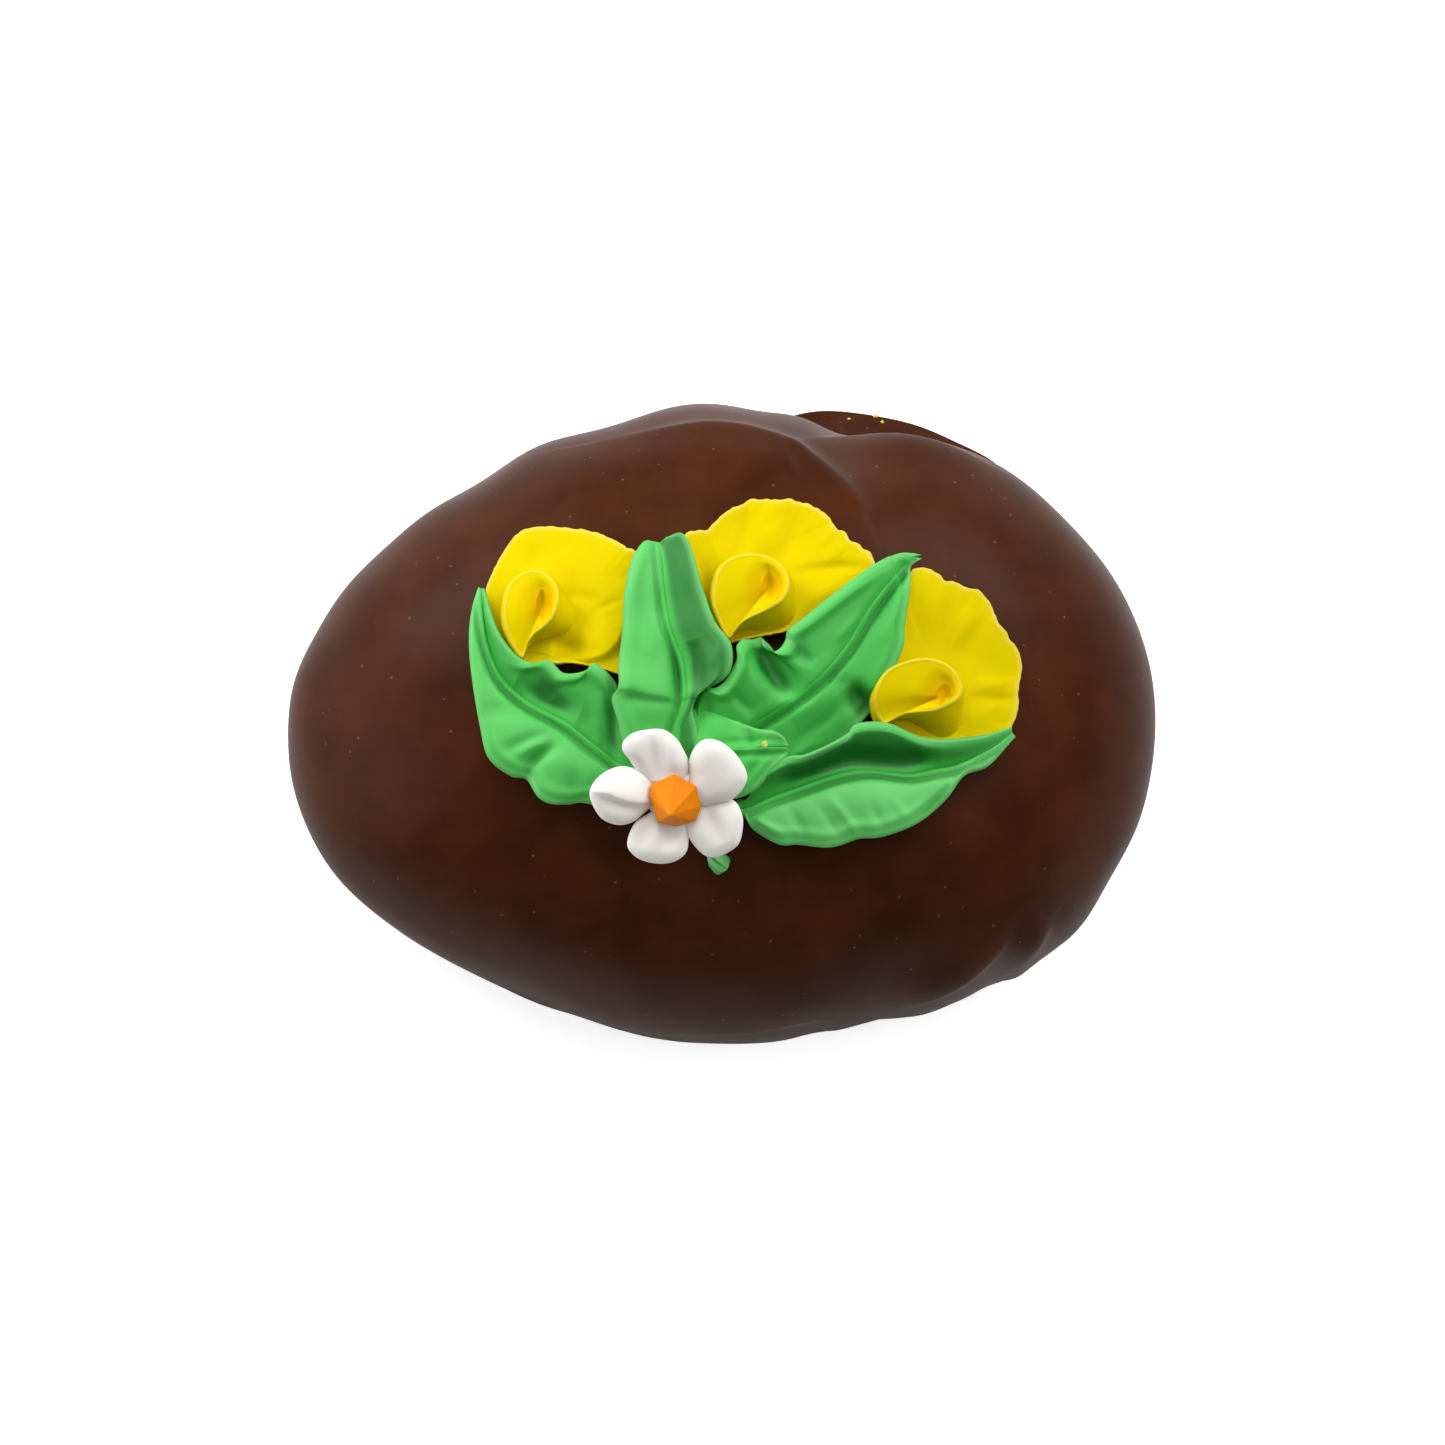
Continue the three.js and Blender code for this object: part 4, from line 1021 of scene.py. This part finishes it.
def build_keel(key, number, settings, material):
    """The furled inner petal: a flaring cup round a narrow throat, pinched at the stem."""
    pea = SWEET_PEAS[key]
    bowl = settings.keel_bowl / MM
    rim = spline(pea["rim"], closed=True)(np.arange(KEEL_SIDES) / KEEL_SIDES)
    hole = spline(pea["throat"], closed=True)(np.linspace(0, 1, KEEL_SIDES)[:-1])
    middle = hole.mean(axis=0)
    hole_turn = np.degrees(np.arctan2(*(hole - middle).T[::-1]))
    away = rim[:, :2] - middle
    turn = np.degrees(np.arctan2(away[:, 1], away[:, 0]))
    reach = np.linalg.norm(away, axis=1)
    away = away / reach[:, None]
    order = np.argsort(hole_turn)
    throat = np.interp(turn, hole_turn[order], np.linalg.norm(hole - middle, axis=1)[order],
                       period=360)
    throat = np.minimum(throat, reach - KEEL_WALL - KEEL_LEAST_RUN)
    top = rim[:, 2]
    at, far, spread = pea["spread"]
    foot = reach - KEEL_INSET + (far + KEEL_INSET) * bell(angle_between(turn, at), spread)
    lump_height, lump_size = KEEL_LUMPS
    throat_shade, throat_shade_reach = KEEL_THROAT_SHADE
    loops, edge, hollow = [], [], []

    # Each ring carries its share of painted highlight and of painted warm shade.
    def ring(distance, lift, rim_highlight=0.0, throat_shade_share=0.0):
        x, y = (middle[k] + away[:, k] * distance for k in (0, 1))
        spots = np.stack([x, y, lift + 0 * x], -1)
        wobble = lump_height * lumps(spots, lump_size, 60 + number)
        loops.append(over_dome(x, y, lift + wobble))
        edge.append(np.full(KEEL_SIDES, rim_highlight))
        hollow.append(throat_shade_share * bell(distance, throat_shade_reach))

    floor = mix(top, top.mean(), KEEL_LEVELLING) - bowl
    pit = floor.mean() - KEEL_PIT
    for share in np.linspace(0.06, 0.94, KEEL_THROAT_RINGS):
        ring(throat * share, mix(pit, floor, share ** 2.2), throat_shade_share=throat_shade)
    run = reach - KEEL_WALL - throat
    for share in np.linspace(0.0, 1, KEEL_CUP_RINGS) ** 1.25:
        beyond = share * run
        climb = np.minimum(beyond / np.minimum(run, KEEL_CLIMB), 1) ** 0.85
        rise = 0.5 - 0.5 * np.cos(math.pi * climb)
        ring(throat + beyond, mix(floor, top - 0.05, rise), throat_shade_share=throat_shade)
    half = KEEL_WALL / 2
    for roll, rim_highlight in KEEL_RIM:
        turned = math.radians(roll)
        ring(reach - half + half * math.cos(turned), top - half + half * math.sin(turned),
             rim_highlight)
    for share in np.linspace(0.04, 1, KEEL_OUTSIDE_RINGS):
        bulge = KEEL_BULGE * math.sin(math.pi * share)
        ring(mix(reach, foot, share ** 1.3) + bulge, mix(top - half, KEEL_FOOT_LIFT, share))
    points, faces = loft(np.array(loops))
    add_piece(f"Sweet_Pea_{key}_keel", points, faces, material,
              f"sweet_pea_{key}_keel", "yellow_icing",
              edge=np.append(edge, [0, 0]), hollow=np.append(hollow, [1, 0]))


# Crumbs of yellow icing, one on a leaf and three on the puddle: place, radius.
CRUMBS = (
    (4.6, -8.3, 49.4, 0.33),
    (15.5, 39.9, 3.9, 0.17),
    (18.8, 40.5, 3.1, 0.26),
    (19.6, 39.6, 3.7, 0.18),
)
CRUMB_ROWS = 9
CRUMB_SIDES = 14
CRUMB_FLATNESS = 0.7
CRUMB_LUMPS = (0.25, 0.9)
# Painted highlight laid over each whole crumb, lightening it where it lies in shade.
CRUMB_HIGHLIGHT = 0.8


def build_crumbs(material):
    parts = []
    lump_height, lump_size = CRUMB_LUMPS
    turn = np.arange(CRUMB_SIDES) * 2 * math.pi / CRUMB_SIDES
    for number, (x, y, z, radius) in enumerate(CRUMBS):
        rise = np.linspace(-math.pi / 2, math.pi / 2, CRUMB_ROWS + 2)[1:-1, None]
        ball = np.stack([np.cos(rise) * np.cos(turn), np.cos(rise) * np.sin(turn),
                         CRUMB_FLATNESS * np.sin(rise) + 0 * turn], -1)
        uneven = 1 + lump_height * lumps(ball, lump_size, 90 + number)
        parts.append(loft(ball * uneven[..., None] * radius + (x, y, z)))
    points, faces = join_parts(parts)
    add_piece("Icing_Crumbs", points, faces, material, None, "yellow_icing",
              edge=np.full(len(points), CRUMB_HIGHLIGHT))


# ---------------------------------------------------------------- white flower

BLOOM_CENTRE = (-5.2, -13.6)
BLOOM_LIFT = 4.8
BLOOM_LEAN = 24.0
# Beyond its middle a petal slopes up by this angle.
BLOOM_PETAL_RISE = 10.0
BLOOM_MIDDLE_RADIUS = 1.2
BLOOM_EDGE_ROUND = 2.0
BLOOM_CROWN = 0.45
BLOOM_LUMPS = (0.06, 3)
BLOOM_EYE_SIDES = 64
BLOOM_EYE_RADIUS = 3.2
BLOOM_EYE_PROFILE = ((0.3, 1.0), (0.8, 0.9), (1.0, 0.4), (0.95, -0.8), (0.5, -1.7))
BLOOM_PETAL_SIDES = 140
BLOOM_TOP_RINGS = 48
BLOOM_UNDER_RINGS = 18
STAR_CENTRE = (0.05, -0.2)
STAR_APEX = (-0.55, -1.1)
STAR_SHOULDER = 1.9
# The flat rings under the shoulder: share of the outline, height.
STAR_BASE = ((0.4, 0.5), (0.8, 0.6), (0.92, 0.9), (0.98, 1.3), (1.0, 1.7))
STAR_POINTS_PER_SIDE = 10
STAR_RINGS = 24

# Petals and the star's outline are drawn in the flower's own leaning plane.
BLOOM_PETALS = {
    "back_left": {
        "lift": 0.2,
        "outline": [(-3.7, 2.2), (-4.9, 4.1), (-5.7, 5.4), (-5.6, 6.3), (-4.5, 7.3), (-3.1, 7.6),
                    (-1.2, 7.6), (0.2, 6.6), (1, 5.2), (1.6, 3.4), (0.7, 0.9), (-1.5, 0.4)],
        "folds": [
            (-0.65, 1.3, 1.1, [(-2.5, 8.2), (-2.3, 5), (-1.9, 1.8)]),
            (0.2, 0.9, 0.9, [(-0.5, 7), (-0.1, 5), (-0.3, 2.8)]),
        ],
    },
    "back_right": {
        "lift": 0.55,
        "outline": [(1.6, 2.8), (1.6, 4.3), (2.2, 5.7), (3.2, 6.6), (4.5, 6.6), (6.1, 5.6),
                    (7.4, 3.9), (7.9, 2.4), (7.3, 0.9), (6.1, -0.2), (4.5, -0.7), (2.8, -1.1),
                    (1.5, -0.2)],
        "folds": [],
    },
    "front_right": {
        "lift": -0.1,
        "outline": [(1.8, -1), (3.4, -0.5), (5.3, -0.1), (6.7, -0.7), (7.4, -2.2), (7.4, -3.7),
                    (7, -5.2), (5.9, -6.2), (4.5, -6.8), (3.4, -6.7), (2.1, -5.6), (1.2, -3.9)],
        "folds": [(-0.3, 0.9, 1.0, [(2.4, -0.8), (4.1, -2.8), (5.4, -5.2)])],
    },
    "front": {
        "lift": -0.2,
        "outline": [(-2.1, -1.9), (-3.2, -2.3), (-4.3, -3), (-5.1, -4.5), (-5.2, -5.7),
                    (-4.3, -6.8), (-2.9, -7.4), (-1.4, -7.6), (0.1, -7.3), (1.2, -6.4),
                    (1.5, -5.1), (1.2, -3.3)],
        "folds": [
            (-0.35, 0.7, 1.0, [(-1.7, -2.4), (-3.1, -3.8), (-4.2, -5.6)]),
            (-0.5, 1.4, 1.4, [(-1.8, -4.4), (-0.4, -4.2), (0.6, -4.4)]),
        ],
    },
    "left": {
        "lift": 0.25,
        "outline": [(-2.8, 2.3), (-4.5, 3.2), (-5.8, 3.5), (-7.5, 3), (-8.8, 1.9), (-9.3, 0.6),
                    (-8.9, -0.9), (-7.9, -2.4), (-6.2, -3.1), (-4.8, -2.9), (-3.5, -2),
                    (-2.2, -0.5)],
        "folds": [
            (0.6, 1.8, 0.5, [(-9.6, 1.2), (-7.2, 1), (-5.2, 0.1), (-2, -0.4)]),
            (-0.35, 0.5, 0.9, [(-8.4, 0.2), (-6, -0.5), (-3, -1.2)]),
        ],
    },
}

STAR_OUTLINE = [(-2.6, 1.5), (-1.2, 2.2), (0, 2.8), (1, 2.1), (2.4, 1.4), (2.5, 0.3),
                (2.9, -0.8), (2.3, -2.5), (0.2, -3.1), (-1.9, -2.7), (-2.3, -1.1), (-2.8, 0.3)]


def place_bloom(points):
    lean = math.radians(BLOOM_LEAN)
    turned = np.stack([points[..., 0],
                       points[..., 1] * math.cos(lean) - points[..., 2] * math.sin(lean),
                       points[..., 1] * math.sin(lean) + points[..., 2] * math.cos(lean)], -1)
    return turned + over_dome(np.array(BLOOM_CENTRE[0]), np.array(BLOOM_CENTRE[1]), BLOOM_LIFT)


def bloom_petal(petal, number, thickness):
    """One thick petal: a soft pillow inside its outline, with its own folds on top."""
    walk = np.arange(BLOOM_PETAL_SIDES) / BLOOM_PETAL_SIDES
    outline = spline(petal["outline"], closed=True)(walk)
    middle = outline.mean(axis=0)
    reach = np.linalg.norm(outline - middle, axis=1)
    half = thickness / 2
    slope = math.tan(math.radians(BLOOM_PETAL_RISE))
    lump_height, lump_size = BLOOM_LUMPS
    loops = []

    def ring(share, height, carved):
        flat = mix(middle, outline, share)
        out = np.hypot(flat[:, 0], flat[:, 1])
        rise = np.maximum(out - BLOOM_MIDDLE_RADIUS, 0) * slope
        folds = relief(flat[:, 0], flat[:, 1], petal["folds"])
        soft = lump_height * lumps(in_plan(flat[:, 0], flat[:, 1]), lump_size, 80 + number)
        z = petal["lift"] + rise + height + carved * (folds + soft)
        loops.append(place_bloom(np.column_stack([flat, z])))

    def rounded(share, radius):
        inset = np.minimum(reach * (1 - share) / radius, 1)
        return half * np.sqrt(1 - (1 - inset) ** 2)

    for step in np.linspace(0.03, 1, BLOOM_TOP_RINGS):
        share = 1 - (1 - step) ** 2
        ring(share, rounded(share, BLOOM_EDGE_ROUND) + BLOOM_CROWN * (1 - share ** 2), 1.0)
    for step in np.linspace(0.94, 0.05, BLOOM_UNDER_RINGS):
        share = 1 - (1 - step) ** 2
        ring(share, -rounded(share, half) * (1.6 - 0.6 * share), share ** 3)
    return loft(np.array(loops))


def bloom_eye():
    """The middle in which the petals join, under the orange centre."""
    turn = np.arange(BLOOM_EYE_SIDES) * 2 * math.pi / BLOOM_EYE_SIDES
    loops = []
    for share, height in BLOOM_EYE_PROFILE:
        radius = BLOOM_EYE_RADIUS * share
        loops.append(place_bloom(np.stack([radius * np.cos(turn), radius * np.sin(turn),
                                           height + 0 * turn], -1)))
    return loft(np.array(loops))


def build_bloom(settings, material):
    petals = [bloom_petal(petal, number, settings.bloom_thickness / MM)
              for number, petal in enumerate(BLOOM_PETALS.values())]
    points, faces = join_parts(petals + [bloom_eye()])
    add_piece("White_Flower", points, faces, material, "white_flower", "white_icing")


def build_star(settings, material):
    """The orange centre, squeezed from a star nozzle and drawn up to a leaning point."""
    corners = np.array(STAR_OUTLINE + STAR_OUTLINE[:1]) - STAR_CENTRE
    sides = STAR_POINTS_PER_SIDE * len(STAR_OUTLINE)
    walk = np.arange(sides) / STAR_POINTS_PER_SIDE
    sharp = np.stack([np.interp(walk, np.arange(len(corners)), corners[:, k])
                      for k in (0, 1)], -1)
    window = np.hanning(2 * STAR_POINTS_PER_SIDE + 3)
    window /= window.sum()
    smooth = np.stack([np.convolve(np.tile(sharp[:, k], 3), window, "same")[sides:2 * sides]
                       for k in (0, 1)], -1)
    loops = []

    def ring(flat, height):
        loops.append(place_bloom(np.column_stack([flat, np.full(sides, height)])))

    for share, height in STAR_BASE:
        ring(mix(smooth, sharp, 0.9) * share + STAR_CENTRE, height)
    for up in np.linspace(0, 0.985, STAR_RINGS):
        middle = mix(np.array(STAR_CENTRE), STAR_APEX, up)
        ring(mix(smooth, sharp, 0.8) * (1 - up) + middle,
             mix(STAR_SHOULDER, settings.star_height / MM, up))
    points, faces = loft(np.array(loops))
    add_piece("Orange_Centre", points, faces, material, "orange_centre", "orange_icing")


# ---------------------------------------------------------------- stage

CAMERA_ELEVATION = 80.0
CAMERA_DISTANCE = 473.0
CAMERA_TARGET_HEIGHT = 16.0
CAMERA_LENS = 100.0

SOFTBOX_DISTANCE = 0.9
SOFTBOX_TARGET = (0, 0, 0.02)
# Soft lights: name, bearing from the back towards the right, elevation, size in metres, and
# power in watts before the key light's strength.
SOFTBOXES = (
    ("Overhead", 180, 80, (0.6, 0.6), 1.0),
    ("Overhead Back", 0, 62, (0.5, 0.35), 2.3),
    ("Back Right", 45, 32, (0.5, 0.45), 4.0),
    ("Back Left", 315, 26, (0.5, 0.45), 4.6),
    ("Left", 270, 16, (0.8, 0.5), 3.0),
    ("Right", 90, 52, (0.4, 0.3), 1.3),
)


def point_at(thing, target):
    thing.rotation_euler = (Vector(target) - thing.location).to_track_quat("-Z", "Y").to_euler()


def add_softbox(name, turn, height, size, power):
    """A soft light that hangs round the egg and faces it."""
    light = bpy.data.lights.new(name, "AREA")
    light.shape = "RECTANGLE"
    light.size, light.size_y = size
    light.energy = power
    thing = bpy.data.objects.new(name, light)
    bpy.context.scene.collection.objects.link(thing)
    across = math.cos(height) * SOFTBOX_DISTANCE
    thing.location = (across * math.sin(turn), across * math.cos(turn),
                      math.sin(height) * SOFTBOX_DISTANCE)
    point_at(thing, SOFTBOX_TARGET)


FLOOR_HALF = 1.6
FLOOR_POINTS = 9


def build_floor(glow):
    """A pale surface that looks lit from below but lights the egg only by what falls on it."""
    steps = np.linspace(-FLOOR_HALF, FLOOR_HALF, FLOOR_POINTS)
    points = [(x, y, 0.0) for y in steps for x in steps]
    starts = [j * FLOOR_POINTS + i for j in range(FLOOR_POINTS - 1)
              for i in range(FLOOR_POINTS - 1)]
    faces = [(k, k + 1, k + 1 + FLOOR_POINTS, k + FLOOR_POINTS) for k in starts]
    mesh = bpy.data.meshes.new("Floor")
    mesh.from_pydata(points, [], faces)
    material, tree, shader = new_material("Pale Floor")
    shader.inputs["Base Color"].default_value = (0.85, 0.85, 0.85, 1)
    shader.inputs["Roughness"].default_value = 0.9
    shader.inputs["Specular IOR Level"].default_value = 0.1
    path = tree.nodes.new("ShaderNodeLightPath")
    seen = mix_node(tree, path.outputs["Is Camera Ray"], (0, 0, 0, 1), (1, 1, 1, 1))
    tree.links.new(seen, shader.inputs["Emission Color"])
    shader.inputs["Emission Strength"].default_value = glow
    mesh.materials.append(material)
    floor = bpy.data.objects.new("Floor", mesh)
    bpy.context.scene.collection.objects.link(floor)


def build_world(overhead, horizon):
    """A pale studio all round that is darker overhead."""
    world = bpy.data.worlds.new("Studio")
    bpy.context.scene.world = world
    world.use_nodes = True
    tree = world.node_tree
    place = tree.nodes.new("ShaderNodeTexCoord")
    split = tree.nodes.new("ShaderNodeSeparateXYZ")
    tree.links.new(place.outputs["Generated"], split.inputs[0])
    sky = ramp_node(tree, split.outputs["Z"], (
        (0.0, grey(horizon)), (0.45, grey(horizon)), (0.85, grey(overhead))))
    tree.links.new(sky, tree.nodes["Background"].inputs["Color"])


def build_camera():
    target = Vector(EGG_SHIFT * MM) + Vector((0, 0, CAMERA_TARGET_HEIGHT * MM))
    tilt = math.radians(CAMERA_ELEVATION)
    back = Vector((0, -math.cos(tilt), math.sin(tilt)))
    lens = bpy.data.cameras.new("Camera")
    lens.lens = CAMERA_LENS
    lens.clip_start = 0.01
    camera = bpy.data.objects.new("Camera", lens)
    bpy.context.scene.collection.objects.link(camera)
    camera.location = target + back * CAMERA_DISTANCE * MM
    point_at(camera, target)
    bpy.context.scene.camera = camera


# ---------------------------------------------------------------- add-on


def colour_property(name, description, default):
    return FloatVectorProperty(name=name, description=description, subtype="COLOR", size=3,
                               min=0, max=1, default=default)


def length_property(name, description, default, largest):
    """A size in metres, given here in millimetres."""
    return FloatProperty(name=name, description=description, subtype="DISTANCE", unit="LENGTH",
                         min=0, max=largest * MM, default=default * MM)


class EggSettings(bpy.types.PropertyGroup):
    chocolate: colour_property("Chocolate", "Colour of the dipped coat", (0.048, 0.0126, 0.0038))
    leaf: colour_property("Leaf icing", "Colour of the piped leaves", (0.036, 0.39, 0.046))
    # Painted shade for the leaves' folds and shaded halves.
    leaf_hollow: colour_property("Leaf hollows", "Full colour of the leaves' deep folds",
                                 (0.001, 0.14, 0.006))
    yellow: colour_property("Yellow icing", "Colour of the sweet peas", (0.585, 0.46, 0.0))
    # Painted warm shade for the keels' throats and the standards' folds.
    yellow_hollow: colour_property("Yellow hollows", "Warm colour deep in the sweet peas",
                                   (0.60, 0.33, 0.0))
    white: colour_property("White icing", "Colour of the drop flower", (0.80, 0.775, 0.73))
    orange: colour_property("Orange icing", "Colour of the flower's centre",
                            (0.72, 0.20, 0.0))
    rib_height: length_property("Rib height", "Height of a leaf's midrib", 0.4, 1)
    leaf_edge: length_property("Leaf edge", "Thickness of a leaf at its rim", 0.9, 1.5)
    petal_edge: length_property("Petal edge", "Thickness of a sweet pea's rim", 0.6, 1.3)
    tooth_depth: length_property("Nibble depth", "How uneven a sweet pea's rim is", 0.1, 0.5)
    keel_bowl: length_property("Keel bowl", "Depth of the furled petal below its rim", 0.6, 2)
    bloom_thickness: length_property("Drop flower petal", "Thickness of a white petal", 1.6, 3)
    star_height: length_property("Flower centre", "Height of the orange centre's point", 4.7, 7)


class StageSettings(bpy.types.PropertyGroup):
    key_power: FloatProperty(
        name="Key light", description="Strength of the soft lights behind and beside the egg",
        default=1.3, min=0)
    overhead: FloatProperty(
        name="Overhead", description="Brightness of the studio overhead", default=0.05, min=0)
    horizon: FloatProperty(
        name="Horizon", description="Brightness of the studio all round", default=0.10, min=0)
    glow: FloatProperty(
        name="Floor glow", description="Light that the pale floor gives off", default=0.69, min=0)


class EGG_OT_chocolate(bpy.types.Operator):
    """Make the dipped chocolate egg with its foot and puddle"""
    bl_idname = "egg.chocolate"
    bl_label = "Chocolate Egg"

    def execute(self, context):
        build_chocolate(context.scene.egg)
        return {"FINISHED"}


class EGG_OT_leaves(bpy.types.Operator):
    """Pipe the six green leaves"""
    bl_idname = "egg.leaves"
    bl_label = "Leaves"

    def execute(self, context):
        settings = context.scene.egg
        material = icing_material("Leaf Icing", settings.leaf, 0.55, 0.42,
                                  settings.leaf_hollow, LEAF_HIGHLIGHT_COLOUR)
        for number, name in enumerate(LEAVES):
            build_leaf(name, number, settings, material)
        return {"FINISHED"}


class EGG_OT_sweet_peas(bpy.types.Operator):
    """Pipe the three yellow sweet peas, each a broad standard and a furled keel"""
    bl_idname = "egg.sweet_peas"
    bl_label = "Sweet Peas"

    def execute(self, context):
        settings = context.scene.egg
        material = icing_material("Yellow Icing", settings.yellow, 0.5, 0.01,
                                  settings.yellow_hollow, YELLOW_HIGHLIGHT_COLOUR)
        for number, key in enumerate(SWEET_PEAS):
            build_standard(key, number, settings, material)
            build_keel(key, number, settings, material)
        build_crumbs(material)
        return {"FINISHED"}


class EGG_OT_white_flower(bpy.types.Operator):
    """Pipe the white drop flower and its orange centre"""
    bl_idname = "egg.white_flower"
    bl_label = "White Flower"

    def execute(self, context):
        settings = context.scene.egg
        white = icing_material("White Icing", settings.white, 0.55, 0.3)
        orange = icing_material("Orange Icing", settings.orange, 0.5, 0.1)
        build_bloom(settings, white)
        build_star(settings, orange)
        return {"FINISHED"}


class EGG_OT_stage(bpy.types.Operator):
    """Set the pale floor, the soft lights and the camera"""
    bl_idname = "egg.stage"
    bl_label = "Stage"

    def execute(self, context):
        settings = context.scene.egg_stage
        build_floor(settings.glow)
        build_world(settings.overhead, settings.horizon)
        for name, turn, height, size, power in SOFTBOXES:
            add_softbox(name, math.radians(turn), math.radians(height), size,
                        power * settings.key_power)
        build_camera()
        context.scene.view_settings.view_transform = "Standard"
        return {"FINISHED"}


OPERATORS = (EGG_OT_chocolate, EGG_OT_leaves, EGG_OT_sweet_peas, EGG_OT_white_flower,
             EGG_OT_stage)


class EGG_PT_panel(bpy.types.Panel):
    bl_label = "Chocolate Egg"
    bl_idname = "EGG_PT_panel"
    bl_space_type = "VIEW_3D"
    bl_region_type = "UI"
    bl_category = "Chocolate Egg"

    def draw(self, context):
        for operator in OPERATORS:
            self.layout.operator(operator.bl_idname)


CLASSES = (EggSettings, StageSettings, *OPERATORS, EGG_PT_panel)


def register():
    for cls in CLASSES:
        bpy.utils.register_class(cls)
    bpy.types.Scene.egg = PointerProperty(type=EggSettings)
    bpy.types.Scene.egg_stage = PointerProperty(type=StageSettings)


def unregister():
    del bpy.types.Scene.egg_stage
    del bpy.types.Scene.egg
    for cls in reversed(CLASSES):
        bpy.utils.unregister_class(cls)


def main():
    register()
    bpy.ops.egg.chocolate()
    bpy.ops.egg.leaves()
    bpy.ops.egg.sweet_peas()
    bpy.ops.egg.white_flower()
    bpy.ops.egg.stage()


if __name__ == "__main__":
    main()
